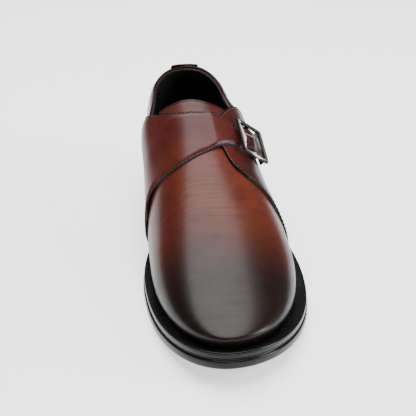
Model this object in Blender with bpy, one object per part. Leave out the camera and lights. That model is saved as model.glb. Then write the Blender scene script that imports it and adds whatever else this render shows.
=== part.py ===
"""Monk strap shoe for the left foot, built as an assembly of its maker's pieces.

Metres, +Z up. The toe points towards -Y, the outer (lateral) side is +X, and the origin
is on the floor at the centre of the sole's outline.

The last is a surface of two coordinates. Along runs from the heel's back, 0, to the toe's
tip, 1. Across is 0 at the inner feather edge, 1 at the ridge of the instep and 2 at the
outer feather edge. Each station along is a rib: the ribs stand square to the shoe between
the heel's turn and the toe's turn, and fan round a point at either end.
"""

import math

import bmesh
import bpy
import numpy as np
from mathutils import Matrix, Vector

# Driving sizes of the shoe
SOLE_LENGTH = 0.300
BALL_WIDTH = 0.099
INSTEP_HEIGHT = 0.100
BACK_HEIGHT = 0.094
HEEL_HEIGHT = 0.022
LIFT_THICKNESS = 0.006
OUTSOLE_FOREPART = 0.0068
OUTSOLE_WAIST = 0.0045
MIDSOLE_THICKNESS = 0.0044
TOE_SPRING = 0.010
TOE_LEDGE = 0.0075
INNER_BALL_LEDGE = 0.0079
OUTER_BALL_LEDGE = 0.0111
WAIST_LEDGE = 0.0035
HEEL_LEDGE = 0.0050
HEEL_BREAST = 0.074
HEEL_PITCH = 0.0015
EDGE_GROOVE = 0.0007
INSOLE_THICKNESS = 0.0030

# Leather, and the gap between pieces that meet
UPPER_WALL = 0.0018
QUARTER_LEATHER = 0.0013
TONGUE_LEATHER = 0.0016
STRIP_LEATHER = 0.0009
LINING_BELOW_EDGE = 0.0012
GAP = 0.0003
QUARTER_GAP = 0.00048

# Strap and buckle
FRAME_LONG = 0.0302
FRAME_SHORT = 0.0276
FRAME_THICKNESS = 0.0021
FRAME_NEAR_BAR = 0.0046
FRAME_FAR_BAR = 0.0026
FRAME_SIDE_BAR = 0.0026
FRAME_CORNER = 0.0020
LUG_WIDTH = 0.0034
PIN_RADIUS = 0.0008
PRONG_RADIUS = 0.0006
STRAP_HOLE = 0.0017
CHAPE_LEATHER = 0.0007
CHAPE_WIDTH = 0.0136
CHAPE_SLOT = 0.0034
CHAPE_TAIL = 0.0100

# Heights of the buckle's layers above the last, in the order they are stacked
TAB_TOP = QUARTER_GAP + QUARTER_LEATHER
PIN_HEIGHT = TAB_TOP + GAP + CHAPE_LEATHER + GAP + PIN_RADIUS
FRAME_HEIGHT = PIN_HEIGHT + PIN_RADIUS + 4 * GAP
HUMP_REACH = 0.0051
HUMP_START = 0.0014
HUMP_CLIMB = 0.0036
BRIDGE_CLIMB = 0.0030
TIP_DROOP = 0.0080
TONGUE_CLEARANCE = 0.0008
SEAM_STATION = 0.0006

UPPER_LENGTH = SOLE_LENGTH - TOE_LEDGE - HEEL_LEDGE
HALF_BALL = BALL_WIDTH / 2
HEEL_BACK_Y = SOLE_LENGTH / 2 - HEEL_LEDGE

# The last in plan. The feather edge's distance from the shoe's axis on either side, and
# how far the wall swells out beyond it, are shares of half the ball width.
PLAN = {
    "along": (0.14, 0.17, 0.25, 0.335, 0.42, 0.50, 0.58, 0.66, 0.685),
    "inner": (0.62, 0.62, 0.59, 0.56, 0.59, 0.67, 0.76, 0.79, 0.79),
    "outer": (0.62, 0.63, 0.65, 0.68, 0.77, 0.89, 1.00, 1.04, 1.04),
    "inner_swell": (0.04, 0.045, 0.12, 0.22, 0.19, 0.13, 0.08, 0.05, 0.05),
    "outer_swell": (0.04, 0.045, 0.12, 0.09, 0.065, 0.06, 0.06, 0.06, 0.06),
}
HEEL_TURN = 0.14
TOE_TURN = 0.685
HEEL_ROUND = 2.25
INNER_TOE_ROUND = 1.99
OUTER_TOE_ROUND = 1.92
HEEL_SWELL = 0.03
TOE_SWELL = 0.03

# The ridge of the closed last: its height is a share of the instep's, its lean to the
# inner side a share of half the ball width. belly is the height of the widest line above
# the feather edge, a share of the instep's height too. flat and full are the powers of
# the section's curve: 2 and 2 is an ellipse.
RIDGE = {
    "along": (0.00, 0.14, 0.25, 0.335, 0.42, 0.50, 0.58, 0.66, 0.75, 0.87, 1.00),
    "height": (1.10, 1.10, 1.12, 1.12, 0.99, 0.85, 0.73, 0.62, 0.51, 0.42, 0.37),
    "lean": (0.00, 0.00, 0.02, 0.04, 0.05, 0.05, 0.03, 0.01, 0.00, 0.00, 0.00),
    "belly": (0.18, 0.18, 0.24, 0.34, 0.26, 0.16, 0.11, 0.08, 0.07, 0.065, 0.06),
    "flat": (2.00, 2.00, 1.95, 1.90, 1.90, 1.95, 2.00, 2.10, 2.20, 2.30, 2.30),
    "full": (2.00, 2.00, 1.95, 1.90, 1.90, 1.95, 2.00, 2.10, 2.15, 2.20, 2.20),
}
TUCK_SHARE = 0.14

# The sole in side view: the waist falls from the heel seat to the forepart between the
# first two stations, and the toe springs up beyond the third.
WAIST_START = 0.26
WAIST_END = 0.60
SPRING_START = 0.76
SPRING_POWER = 1.8

# Height of the collar's edge as a share of the back's height.
COLLAR = {
    "along": (0.00, 0.05, 0.12, 0.20, 0.27, 0.322),
    "inner": (1.000, 0.985, 0.915, 0.845, 0.822, 0.858),
    "outer": (1.000, 0.985, 0.905, 0.825, 0.800, 0.830),
}
CORNER = 0.322

# The throat narrows from the collar's corners, where across is 0, to a point on the ridge,
# where it is 1. The tongue fills it from its own top edge on.
THROAT = {
    "across": (0.00, 0.16, 0.38, 0.60, 0.80, 1.00),
    "along": (0.322, 0.366, 0.410, 0.450, 0.480, 0.500),
}
TONGUE_TOP = {
    "across": (0.56, 0.72, 0.85, 1.00, 1.12, 1.22, 1.34),
    "along": (0.362, 0.3725, 0.3795, 0.385, 0.388, 0.388, 0.389),
}

# Edges of the strap, and of the outer quarter's tab, where each crosses the last. The
# strap's are drawn for a buckle that is STRAP_DRAWN_FOR wide inside.
STRAP_BACK = {
    "across": (
        0.40, 0.51, 0.71, 0.85, 1.00, 1.11, 1.22, 1.34, 1.41, 1.48, 1.56, 1.63, 1.71,
    ),
    "along": (
        0.324, 0.358, 0.396, 0.413, 0.419, 0.421, 0.4235, 0.4290, 0.4260, 0.4198, 0.4086,
        0.3955, 0.3815,
    ),
}
STRAP_FRONT = {
    "across": (
        0.00, 0.15, 0.30, 0.42, 0.60, 0.72, 0.85, 1.00, 1.09, 1.20, 1.32, 1.39, 1.46,
        1.52, 1.60, 1.71,
    ),
    "along": (
        0.572, 0.553, 0.533, 0.529, 0.540, 0.545, 0.541, 0.529, 0.517, 0.502, 0.492,
        0.485, 0.480, 0.470, 0.459, 0.445,
    ),
}
STRAP_DRAWN_FOR = 0.0250
STRAP_TIP = 1.74
STRAP_TIP_ROUND = 0.06
STRAP_STAND = 0.0017
TAB_FRONT = {
    "across": (1.17, 1.21, 1.30, 1.42, 1.55, 1.68, 1.85, 2.00),
    "along": (0.492, 0.535, 0.564, 0.574, 0.583, 0.603, 0.632, 0.655),
}
TAB_BACK = 0.440
TAB_CURVE = 1.6
BACK_STRIP_TOP = 0.039
BACK_STRIP_FOOT = 0.018
BACK_STRIP_RISE = 0.0010
BUCKLE_ALONG = 0.447
BUCKLE_ACROSS = 1.487
BUCKLE_SPIN = math.radians(-8)
BUCKLE_TILT = math.radians(7.5)

# The edges of the outsole and the midsole, from top to bottom: how far in they lie, in
# depths of the groove, and their share of the plate's height.
OUTSOLE_EDGE = ((2.0, 1.0), (2.0, 0.88), (1.0, 0.82), (0.0, 0.70), (0.0, 0.15), (0.85, 0.0))
MIDSOLE_EDGE = ((2.0, 1.0), (1.0, 0.80), (1.0, 0.10), (2.0, 0.0))

# Stations of the ribs, and of the rows up them
RIB_STATIONS = np.concatenate((
    np.linspace(0.0, HEEL_TURN, 7),
    np.linspace(HEEL_TURN, TOE_TURN, 20)[1:],
    np.linspace(TOE_TURN, 1.0, 10)[1:],
))
RIB_SPACING = (TOE_TURN - HEEL_TURN) / 19
WALL_ROWS = np.array((0.0, 0.07, 0.15, 0.26, 0.38, 0.50, 0.62, 0.74, 0.85, 0.93, 1.0))
PLATE_ROWS = np.array((0.0, 0.50, 0.88))
QUARTER_ROWS = np.array((0.0, 0.11, 0.22, 0.34, 0.48, 0.62, 0.76, 0.89, 1.0))


def read(table, column, at):
    """A table's column as a smooth curve: cubic pieces whose slopes follow the neighbours."""
    xs = np.asarray(table["along" if column != "along" else "across"], float)
    ys = np.asarray(table[column], float)
    steps = np.diff(ys) / np.diff(xs)
    widths = np.diff(xs)
    slopes = np.concatenate((
        steps[:1],
        (steps[:-1] * widths[1:] + steps[1:] * widths[:-1]) / (widths[:-1] + widths[1:]),
        steps[-1:],
    ))
    at = np.clip(np.asarray(at, float), xs[0], xs[-1])
    i = np.clip(np.searchsorted(xs, at, side="right") - 1, 0, len(xs) - 2)
    h = xs[i + 1] - xs[i]
    t = (at - xs[i]) / h
    start = ys[i] * (1 + 2 * t) * (1 - t) ** 2 + slopes[i] * h * t * (1 - t) ** 2
    end = ys[i + 1] * t**2 * (3 - 2 * t) - slopes[i + 1] * h * t**2 * (1 - t)
    return start + end


def ease(t):
    """Rises smoothly from 0 to 1 as t does."""
    t = np.clip(t, 0.0, 1.0)
    return t * t * (3 - 2 * t)


def bottom_z(v):
    """Height of the outsole's underside above the floor at a share v of the length."""
    heel = HEEL_HEIGHT * (1 - ease((v - WAIST_START) / (WAIST_END - WAIST_START)))
    spring = np.clip((v - SPRING_START) / (1 - SPRING_START), 0.0, None)
    return heel + TOE_SPRING * spring**SPRING_POWER


def outsole_thickness(v):
    """Thickness of the outsole, which thins from the forepart to the waist."""
    return OUTSOLE_WAIST + (OUTSOLE_FOREPART - OUTSOLE_WAIST) * ease((v - 0.36) / 0.20)


def midsole_z(v):
    """Height of the midsole's underside."""
    return bottom_z(v) + outsole_thickness(v) + GAP


def seat_z(v):
    """Height of the midsole's top, where the upper and the insole sit."""
    return midsole_z(v) + MIDSOLE_THICKNESS


def outer_excess():
    """How much further from the axis the sole's outer side reaches than its inner side."""
    feather = HALF_BALL * (max(PLAN["outer"]) - max(PLAN["inner"]))
    return feather + OUTER_BALL_LEDGE - INNER_BALL_LEDGE


AXIS_X = -outer_excess() / 2


def rib(along, outer, swell, extra):
    """Plan of a rib: its foot on the outline, pushed out, and its root on the centre line.

    The outline follows the table between the two turns. Round each end it is a quarter
    of a superellipse on each side, and extra is added square to it.
    """
    along = np.asarray(along, float)
    c = np.clip(along, HEEL_TURN, TOE_TURN)
    side = np.where(outer, 1.0, -1.0)
    half = np.where(outer, read(PLAN, "outer", c), read(PLAN, "inner", c)) * HALF_BALL
    bulge = np.where(outer, read(PLAN, "outer_swell", c), read(PLAN, "inner_swell", c))
    root_x = AXIS_X - read(RIDGE, "lean", c) * HALF_BALL
    root_y = HEEL_BACK_Y - c * UPPER_LENGTH
    a = half - side * (root_x - AXIS_X)
    heel = along < HEEL_TURN
    b = np.where(heel, HEEL_TURN, 1 - TOE_TURN) * UPPER_LENGTH
    turn = np.where(heel, 1 - along / HEEL_TURN, (along - TOE_TURN) / (1 - TOE_TURN))
    turn = np.clip(turn, 0.0, 1.0)
    phi = turn * math.pi / 2
    toe_round = np.where(outer, OUTER_TOE_ROUND, INNER_TOE_ROUND)
    power = np.where(heel, HEEL_ROUND, toe_round)
    cos, sin = np.clip(np.cos(phi), 0, 1), np.sin(phi)
    vx = a * cos ** (2 / power)
    vy = b * sin ** (2 / power)
    nx = cos ** (2 - 2 / power) / a
    ny = sin ** (2 - 2 / power) / b
    norm = np.hypot(nx, ny)
    end_swell = np.where(heel, HEEL_SWELL, TOE_SWELL)
    bulge = (bulge + (end_swell - bulge) * ease(turn)) * HALF_BALL
    push = (bulge * swell + extra) / norm
    forward = np.where(heel, 1.0, -1.0)
    foot_x = root_x + side * (vx + nx * push)
    foot_y = root_y + forward * (vy + ny * push)
    return foot_x, foot_y, root_x, root_y


def share_of(y):
    """The share of the upper's length at y."""
    return (HEEL_BACK_Y - y) / UPPER_LENGTH


def last(along, across, off=0.0):
    """A point of the last, or of the surface that lies off outside it.

    Below the widest line the wall tucks in to the feather edge as a parabola. Above it
    the section is a quarter of a superellipse up to the ridge.
    """
    along, across, off = np.broadcast_arrays(*np.atleast_1d(along, across, off))
    outer = across > 1.0
    q = np.where(outer, 2.0 - across, across)
    low = np.clip(q / TUCK_SHARE, 0.0, 1.0)
    phi = np.clip((q - TUCK_SHARE) / (1 - TUCK_SHARE), 0.0, 1.0) * math.pi / 2
    flat, full = read(RIDGE, "flat", along), read(RIDGE, "full", along)
    rho = np.clip(np.cos(phi), 0, 1) ** (2 / flat)
    rise = np.sin(phi) ** (2 / full)
    foot_x, foot_y, root_x, root_y = rib(along, outer, 1 - (1 - low) ** 2, off)
    x = root_x + (foot_x - root_x) * rho
    y = root_y + (foot_y - root_y) * rho
    v = np.clip(share_of(y), 0.0, 1.0)
    belly = read(RIDGE, "belly", along) * INSTEP_HEIGHT
    top = read(RIDGE, "height", v) * INSTEP_HEIGHT
    step = 0.01
    slope = (read(RIDGE, "height", v + step) - read(RIDGE, "height", v - step)) * INSTEP_HEIGHT
    slope = slope / (2 * step * UPPER_LENGTH)
    top = top + off * np.sqrt(1 + slope**2)
    base = seat_z(share_of(y)) + GAP
    z = base + belly * low + (top - base - belly) * rise
    return np.stack((x, y, z), axis=-1)


def across_at_height(along, outer, height):
    """The across coordinate at which each rib of one side reaches a height."""
    samples = np.linspace(0.0, 1.0, 81)
    found = []
    for u, h in zip(np.atleast_1d(along), np.atleast_1d(height)):
        q = 2.0 - samples if outer else samples
        z = last(np.full_like(q, u), q)[:, 2]
        found.append(float(np.interp(h, z, samples)))
    found = np.array(found)
    return 2.0 - found if outer else found


def collar_across(along, outer, below=0.0):
    """The across coordinate of the collar's edge, or of a line below it."""
    column = "outer" if outer else "inner"
    height = read(COLLAR, column, along) * BACK_HEIGHT - below
    return across_at_height(along, outer, height)


def throat_share(along):
    """How far the throat's edge has closed at each station, 0 at the corner, 1 at the point."""
    shares = np.linspace(0.0, 1.0, 81)
    return np.interp(along, read(THROAT, "along", shares), shares)


def throat_across(along, outer):
    """The across coordinate of the upper's open edge between a corner and the point."""
    corner = collar_across([CORNER], outer, LINING_BELOW_EDGE)[0]
    return corner + (1.0 - corner) * throat_share(along)


def material(name, colour, roughness, metallic=0.0):
    """A Principled material of one colour."""
    made = bpy.data.materials.new(name)
    made.use_nodes = True
    shader = made.node_tree.nodes["Principled BSDF"]
    shader.inputs["Base Color"].default_value = (*colour, 1.0)
    shader.inputs["Roughness"].default_value = roughness
    shader.inputs["Metallic"].default_value = metallic
    return made


def add_object(name, bm, finish, smooth_angle=math.radians(40)):
    """Turns a closed bmesh into a named object of triangles, faces out."""
    bmesh.ops.remove_doubles(bm, verts=bm.verts, dist=1e-6)
    bmesh.ops.dissolve_degenerate(bm, edges=bm.edges, dist=1e-6)
    bmesh.ops.triangulate(bm, faces=bm.faces)
    bmesh.ops.recalc_face_normals(bm, faces=bm.faces)
    mesh = bpy.data.meshes.new(name)
    bm.to_mesh(mesh)
    bm.free()
    mesh.shade_smooth()
    mesh.set_sharp_from_angle(angle=smooth_angle)
    mesh.materials.append(finish)
    made = bpy.data.objects.new(name, mesh)
    bpy.context.scene.collection.objects.link(made)
    return made


def grid_faces(bm, points, wrap_first=False, wrap_second=False, keep=None):
    """Adds a grid of points and its quads; keep may leave some quads out."""
    rows, columns = points.shape[:2]
    verts = [[bm.verts.new(points[i, j]) for j in range(columns)] for i in range(rows)]
    for i in range(rows if wrap_first else rows - 1):
        for j in range(columns if wrap_second else columns - 1):
            if keep is not None and not keep(i, j):
                continue
            k, m = (i + 1) % rows, (j + 1) % columns
            bm.faces.new((verts[i][j], verts[k][j], verts[k][m], verts[i][m]))
    return verts


def loop_stations():
    """The ribs in order round the shoe: inner side to the toe, outer side back."""
    inner = [(u, False) for u in RIB_STATIONS]
    outer = [(u, True) for u in RIB_STATIONS[-2:0:-1]]
    return inner + outer


def ledge(v, outer):
    """How far the sole's edge stands out beyond the feather edge."""
    ball = np.where(outer, OUTER_BALL_LEDGE, INNER_BALL_LEDGE)
    start = np.where(outer, 0.37, 0.47)
    to_waist = HEEL_LEDGE + (WAIST_LEDGE - HEEL_LEDGE) * ease((v - 0.14) / 0.18)
    to_ball = to_waist + (ball - WAIST_LEDGE) * ease((v - start) / 0.22)
    return to_ball + (TOE_LEDGE - ball) * ease((v - 0.75) / 0.25)


def plate(name, finish, edge, low, high, stations=None, inset=0.0):
    """A plate of the sole: its edge profile carried round the ribs and closed over.

    edge lists pairs of how far in from the ledge and what share of the height, from the
    top rim down to the bottom rim. low and high give the two faces' heights along v.
    """
    ribs = loop_stations() if stations is None else stations
    bm = bmesh.new()
    points = []
    for u, outer in ribs:
        top, side, bottom = [], [], []
        for rim_in, share in edge:
            reach = ledge(u, outer) - rim_in - inset
            x, y = (float(t) for t in rib(u, outer, 0.0, reach)[:2])
            v = share_of(y)
            side.append((x, y, low(v) + (high(v) - low(v)) * share))
        for rows, rim, height in ((top, edge[0], high), (bottom, edge[-1], low)):
            x, y, rx, ry = (float(t) for t in rib(u, outer, 0.0, ledge(u, outer) - rim[0] - inset))
            for row in PLATE_ROWS:
                px, py = rx + (x - rx) * row, ry + (y - ry) * row
                rows.append((px, py, height(share_of(py))))
        points.append(top + side + bottom[::-1])
    open_loop = stations is not None
    grid_faces(bm, np.array(points), wrap_first=not open_loop)
    if open_loop:
        bmesh.ops.remove_doubles(bm, verts=bm.verts, dist=1e-6)
        border = [e for e in bm.edges if e.is_boundary]
        bmesh.ops.holes_fill(bm, edges=border, sides=0)
    return add_object(name, bm, finish)


def build_sole(rubber, insole_leather):
    """Top lift, heel block, outsole, midsole and insole."""
    breast = HEEL_BREAST / UPPER_LENGTH
    back = RIB_STATIONS[RIB_STATIONS < breast - 0.005]
    heel_ribs = [(u, True) for u in (breast, *back[::-1])]
    heel_ribs += [(u, False) for u in (*back[1:], breast)]
    plain_edge = ((0.0, 1.0), (0.0, 0.0))
    plate(
        "top_lift", rubber, plain_edge,
        lambda v: 0.0, lambda v: LIFT_THICKNESS, heel_ribs, HEEL_PITCH,
    )
    heel_edge = ((0.0, 1.0), (HEEL_PITCH / 2, 0.5), (HEEL_PITCH, 0.0))
    plate(
        "heel_block", rubber, heel_edge,
        lambda v: LIFT_THICKNESS + GAP, lambda v: bottom_z(v) - GAP, heel_ribs,
    )
    outsole_edge = [(EDGE_GROOVE * depth, share) for depth, share in OUTSOLE_EDGE]
    midsole_edge = [(EDGE_GROOVE * depth, share) for depth, share in MIDSOLE_EDGE]
    plate(
        "outsole", rubber, outsole_edge, bottom_z,
        lambda v: bottom_z(v) + outsole_thickness(v),
    )
    plate("midsole", rubber, midsole_edge, midsole_z, seat_z)

    bm = bmesh.new()
    points = []
    clearance = UPPER_WALL + GAP
    for u, outer in loop_stations():
        top, bottom = [], []
        for rows, lift in ((top, 2 * GAP + INSOLE_THICKNESS), (bottom, 2 * GAP)):
            x, y, rx, ry = (float(t) for t in rib(u, outer, 0.0, -clearance))
            for row in (*PLATE_ROWS, 1.0):
                px, py = rx + (x - rx) * row, ry + (y - ry) * row
                rows.append((px, py, seat_z(share_of(py)) + lift))
        points.append(top + bottom[::-1])
    grid_faces(bm, np.array(points), wrap_first=True)
    add_object("insole", bm, insole_leather)


def build_upper(finish):
    """The hollow shell: vamp and lining as one wall, open at collar, throat and underneath."""
    point = THROAT["along"][-1]
    behind = RIB_STATIONS[RIB_STATIONS < CORNER - RIB_SPACING / 2]
    ahead = RIB_STATIONS[RIB_STATIONS > point + RIB_SPACING / 2]
    stations = np.concatenate((behind, read(THROAT, "along", np.linspace(0, 1, 9)), ahead))
    ribs = [(u, False) for u in stations] + [(u, True) for u in stations[-2:0:-1]]
    closed, points = [], []
    for u, outer in ribs:
        if u < CORNER:
            top = collar_across([u], outer, LINING_BELOW_EDGE)[0]
        else:
            top = throat_across([u], outer)[0]
        top_share = 2.0 - top if outer else top
        closed.append(u >= point - 1e-9)
        q = WALL_ROWS * (1.0 if closed[-1] else top_share)
        across = 2.0 - q if outer else q
        outside = last(np.full_like(q, u), across)
        inside = last(np.full_like(q, u), across, -UPPER_WALL)[::-1]
        points.append(np.concatenate((outside, inside)))
    rows = len(WALL_ROWS)
    count = len(ribs)

    def keep(i, j):
        return not (j == rows - 1 and closed[i] and closed[(i + 1) % count])

    bm = bmesh.new()
    grid_faces(bm, np.array(points), wrap_first=True, wrap_second=True, keep=keep)
    return add_object("upper", bm, finish)


def strip_solid(name, finish, along, across, under, over):
    """A leather overlay: a grid of stations on the last, given its thickness.

    under and over give how far its two faces lie outside the last.
    """
    rows = along.shape[1]
    inside = last(along, across, under)
    outside = last(along, across, over)
    ring = np.concatenate((outside, inside[:, ::-1]), axis=1)
    bm = bmesh.new()
    verts = grid_faces(bm, ring, wrap_second=True)
    for end in (verts[0], verts[-1]):
        for j in range(rows - 1):
            bm.faces.new((end[j], end[j + 1], end[2 * rows - 2 - j], end[2 * rows - 1 - j]))
    return add_object(name, bm, finish)


def ruled(low, high, share):
    """Stations on straight lines between two edges, each given as along and across."""
    return tuple(np.outer(a, 1 - share) + np.outer(b, share) for a, b in zip(low, high))


def heel_pace(stage, end):
    """Stations from beside the back seam to end, in even steps round the heel's turn."""
    turn_length = 0.31 * (end - HEEL_TURN)
    turn_stage = 0.5 * HEEL_TURN / (0.5 * HEEL_TURN + turn_length)
    return np.interp(stage, (0.0, turn_stage, 1.0), (SEAM_STATION, HEEL_TURN, end))


def strap_under(along, across):
    """How far the strap's underside lies outside the last.

    It climbs onto the outer quarter's tab, and over the buckle's chape and pin. Then it
    runs straight to the far bar, close under it, and droops at the tip.
    """
    inverse = np.array(buckle_matrix().inverted())
    own = last(along, across, PIN_HEIGHT) @ inverse[:3, :3].T + inverse[:3, 3]
    down = np.where(across > 1.0, own[..., 1], -FRAME_LONG)
    far_edge = FRAME_SHORT / 2
    straight = ease(down / BRIDGE_CLIMB) * (1 - ease((down - far_edge) / TIP_DROOP))
    pin_top = PIN_HEIGHT + PIN_RADIUS + 2 * GAP + CHAPE_LEATHER
    far_under = FRAME_HEIGHT - 2 * GAP - QUARTER_LEATHER
    reach = far_edge - FRAME_FAR_BAR - BRIDGE_CLIMB / 3
    line = far_under + (pin_top - far_under) * np.clip(1 - down / reach, 0.0, 1.0)
    bridge = line + PIN_HEIGHT - own[..., 2]
    on_tab = ease((across - TAB_FRONT["across"][0] + 0.13) / 0.10)
    over_pin = np.exp(-((down / HUMP_REACH) ** 2))
    on_chape = (CHAPE_LEATHER + 2 * GAP) * ease((down + HUMP_START) / HUMP_CLIMB)
    rise = (pin_top - TAB_TOP - GAP) * over_pin
    laid = QUARTER_GAP + (QUARTER_LEATHER + GAP) * on_tab + np.maximum(rise, on_chape)
    return laid + np.maximum(bridge - laid, 0.0) * straight


def strap_edges(across):
    """Where the strap's back and front edges cross the last.

    Past the instep its half width follows the opening of the buckle that it fills.
    """
    back, front = read(STRAP_BACK, "along", across), read(STRAP_FRONT, "along", across)
    opening = FRAME_LONG - 2 * FRAME_SIDE_BAR
    fit = 1 + (opening / STRAP_DRAWN_FOR - 1) * ease((across - 1.0) / 0.2)
    middle, half = (back + front) / 2, (front - back) / 2
    return middle - half * fit, middle + half * fit


def build_inner_quarter(leather):
    """The inner quarter, which runs on over the instep as the strap to its tip."""
    feather_stage, corner_stage = 0.44, 0.30
    stage = np.concatenate((
        np.linspace(0, corner_stage, 18),
        np.linspace(corner_stage, feather_stage, 6)[1:],
        np.linspace(feather_stage, 0.80, 15)[1:],
        np.linspace(0.80, 1, 21)[1:],
    ))
    low_across = STRAP_TIP * np.clip((stage - feather_stage) / (1 - feather_stage), 0, 1)
    low_along = np.where(
        stage < feather_stage,
        heel_pace(stage / feather_stage, STRAP_FRONT["along"][0]),
        strap_edges(low_across)[1],
    )
    corner = collar_across([CORNER], False)[0]
    past_corner = np.clip((stage - corner_stage) / (1 - corner_stage), 0, 1)
    high_across = corner + (STRAP_TIP - corner) * past_corner
    strap_back = strap_edges(high_across)[0]
    strap_back = CORNER + (strap_back - CORNER) * ease(past_corner / 0.06)
    collar_along = heel_pace(stage / corner_stage, CORNER)
    behind = stage < corner_stage
    high_along = np.where(behind, collar_along, strap_back)
    high_across = np.where(behind, collar_across(collar_along, False), high_across)
    along, across = ruled((low_along, low_across), (high_along, high_across), QUARTER_ROWS)
    width_share = np.abs(2 * QUARTER_ROWS - 1)
    near_tip = ease((stage - 0.93) / 0.07)
    across = across - STRAP_TIP_ROUND * np.outer(near_tip, width_share**2.5)
    fade = np.where(across < corner, 0.17, 0.14)
    stand = STRAP_STAND * np.exp(-(((across - corner) / fade) ** 2))
    stand = stand * ease((stage - corner_stage) / 0.018 + 1)[:, None]
    under = strap_under(along, across) + stand
    return strip_solid(
        "quarter_inner_strap", leather, along, across, under, under + QUARTER_LEATHER,
    )


def build_outer_quarter(leather):
    """The outer quarter, whose tab runs forward and up under the strap."""
    feather_stage, corner_stage = 0.60, 0.48
    stage = np.concatenate((
        np.linspace(0, corner_stage, 19),
        np.linspace(corner_stage, feather_stage, 5)[1:],
        np.linspace(feather_stage, 1, 13)[1:],
    ))
    tab_end = TAB_FRONT["across"][0]
    past_feather = np.clip((stage - feather_stage) / (1 - feather_stage), 0, 1)
    low_across = 2.0 - (2.0 - tab_end) * past_feather
    low_along = np.where(
        stage < feather_stage,
        heel_pace(stage / feather_stage, TAB_FRONT["along"][-1]),
        read(TAB_FRONT, "along", low_across),
    )
    corner = collar_across([CORNER], True)[0]
    past_corner = np.clip((stage - corner_stage) / (1 - corner_stage), 0, 1)
    collar_along = heel_pace(stage / corner_stage, CORNER)
    behind = stage < corner_stage
    tab_along = CORNER + (TAB_BACK - CORNER) * past_corner**TAB_CURVE
    high_along = np.where(behind, collar_along, tab_along)
    high_across = np.where(
        behind, collar_across(collar_along, True), corner + (tab_end - corner) * past_corner,
    )
    along, across = ruled((low_along, low_across), (high_along, high_across), QUARTER_ROWS)
    under = np.full_like(along, QUARTER_GAP)
    return strip_solid("quarter_outer", leather, along, across, under, under + QUARTER_LEATHER)


def build_tongue(leather):
    """The tongue: it carries on the vamp's curve from the throat's point to its top edge."""
    inner_corner = collar_across([CORNER], False, LINING_BELOW_EDGE)[0]
    outer_corner = collar_across([CORNER], True, LINING_BELOW_EDGE)[0]
    across = np.linspace(TONGUE_TOP["across"][0], TONGUE_TOP["across"][-1], 13)
    corner = np.where(across > 1.0, outer_corner, inner_corner)
    closed = (across - corner) / (1.0 - corner)
    foot = read(THROAT, "along", closed) - TONGUE_CLEARANCE / UPPER_LENGTH
    top = read(TONGUE_TOP, "along", across)
    foot = np.maximum(foot, top + TONGUE_CLEARANCE / UPPER_LENGTH)
    along, across = ruled((foot, across), (top, across), np.linspace(0, 1, 5))
    over = np.zeros_like(along)
    return strip_solid("tongue", leather, along, across, over - TONGUE_LEATHER, over)


def build_back_strip(leather):
    """The strip over the back seam, from the feather edge to just above the collar."""
    share = np.linspace(-1.0, 1.0, 11)
    level = np.linspace(0.0, 1.0, 8)
    half = BACK_STRIP_FOOT + (BACK_STRIP_TOP - BACK_STRIP_FOOT) * level
    along = np.abs(np.outer(share, half))
    top = collar_across(along[:, -1], False, -BACK_STRIP_RISE)
    across = np.outer(top, level)
    across = np.where(share[:, None] > 0, 2.0 - across, across)
    under = np.full_like(along, TAB_TOP + GAP)
    return strip_solid("back_strip", leather, along, across, under, under + STRIP_LEATHER)


def buckle_matrix():
    """The buckle's own frame: X along the shoe to the toe, Y down the side, Z outwards."""
    reach = FRAME_LONG / 2 / UPPER_LENGTH
    drop = FRAME_SHORT / 2 / arc_per_across()
    at = last(BUCKLE_ALONG, BUCKLE_ACROSS)[0]
    fore = last(BUCKLE_ALONG + reach, BUCKLE_ACROSS)[0] - last(BUCKLE_ALONG - reach, BUCKLE_ACROSS)[0]
    down = last(BUCKLE_ALONG, BUCKLE_ACROSS + drop)[0] - last(BUCKLE_ALONG, BUCKLE_ACROSS - drop)[0]
    out = Vector(fore).cross(Vector(down)).normalized()
    if out.x < 0:
        out = -out
    x_axis = Vector(fore).normalized()
    y_axis = out.cross(x_axis)
    if y_axis.dot(Vector(down)) < 0:
        y_axis = -y_axis
    turn = Matrix((x_axis, y_axis, out)).transposed().to_4x4()
    turn = turn @ Matrix.Rotation(BUCKLE_SPIN, 4, "Z") @ Matrix.Rotation(BUCKLE_TILT, 4, "X")
    return Matrix.Translation(Vector(at)) @ turn


def by_buckle(x, y, out):
    """Points out from the last that stand over x and y in the buckle's own frame.

    The two coordinates on the last are found by Newton's steps from their first guess.
    """
    inverse = np.array(buckle_matrix().inverted())

    def flat(along, across):
        """The points' X and Y in the buckle's frame."""
        return (last(along, across, out) @ inverse[:3, :3].T + inverse[:3, 3])[:, :2]

    along = BUCKLE_ALONG + x / UPPER_LENGTH
    across = BUCKLE_ACROSS + y / arc_per_across()
    step = 0.001
    for _ in range(6):
        here = flat(along, across)
        by_along = (flat(along + step, across) - here) / step
        by_across = (flat(along, across + step) - here) / step
        miss = np.stack((x, y), axis=1) - here
        area = by_along[:, 0] * by_across[:, 1] - by_along[:, 1] * by_across[:, 0]
        along = along + (miss[:, 0] * by_across[:, 1] - miss[:, 1] * by_across[:, 0]) / area
        across = across + (by_along[:, 0] * miss[:, 1] - by_along[:, 1] * miss[:, 0]) / area
    return last(along, across, out)


def rounded_loop(half_x, low_y, high_y, radius, height):
    """Points round a rectangle with rounded corners at one height."""
    points = []
    corners = ((half_x, high_y, 0), (-half_x, high_y, 1), (-half_x, low_y, 2), (half_x, low_y, 3))
    for x, y, quarter in corners:
        cx = x - math.copysign(radius, x)
        cy = y - radius if y == high_y else y + radius
        for k in range(4):
            angle = (quarter + k / 3) * math.pi / 2
            points.append((cx + radius * math.cos(angle), cy + radius * math.sin(angle), height))
    return points


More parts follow.
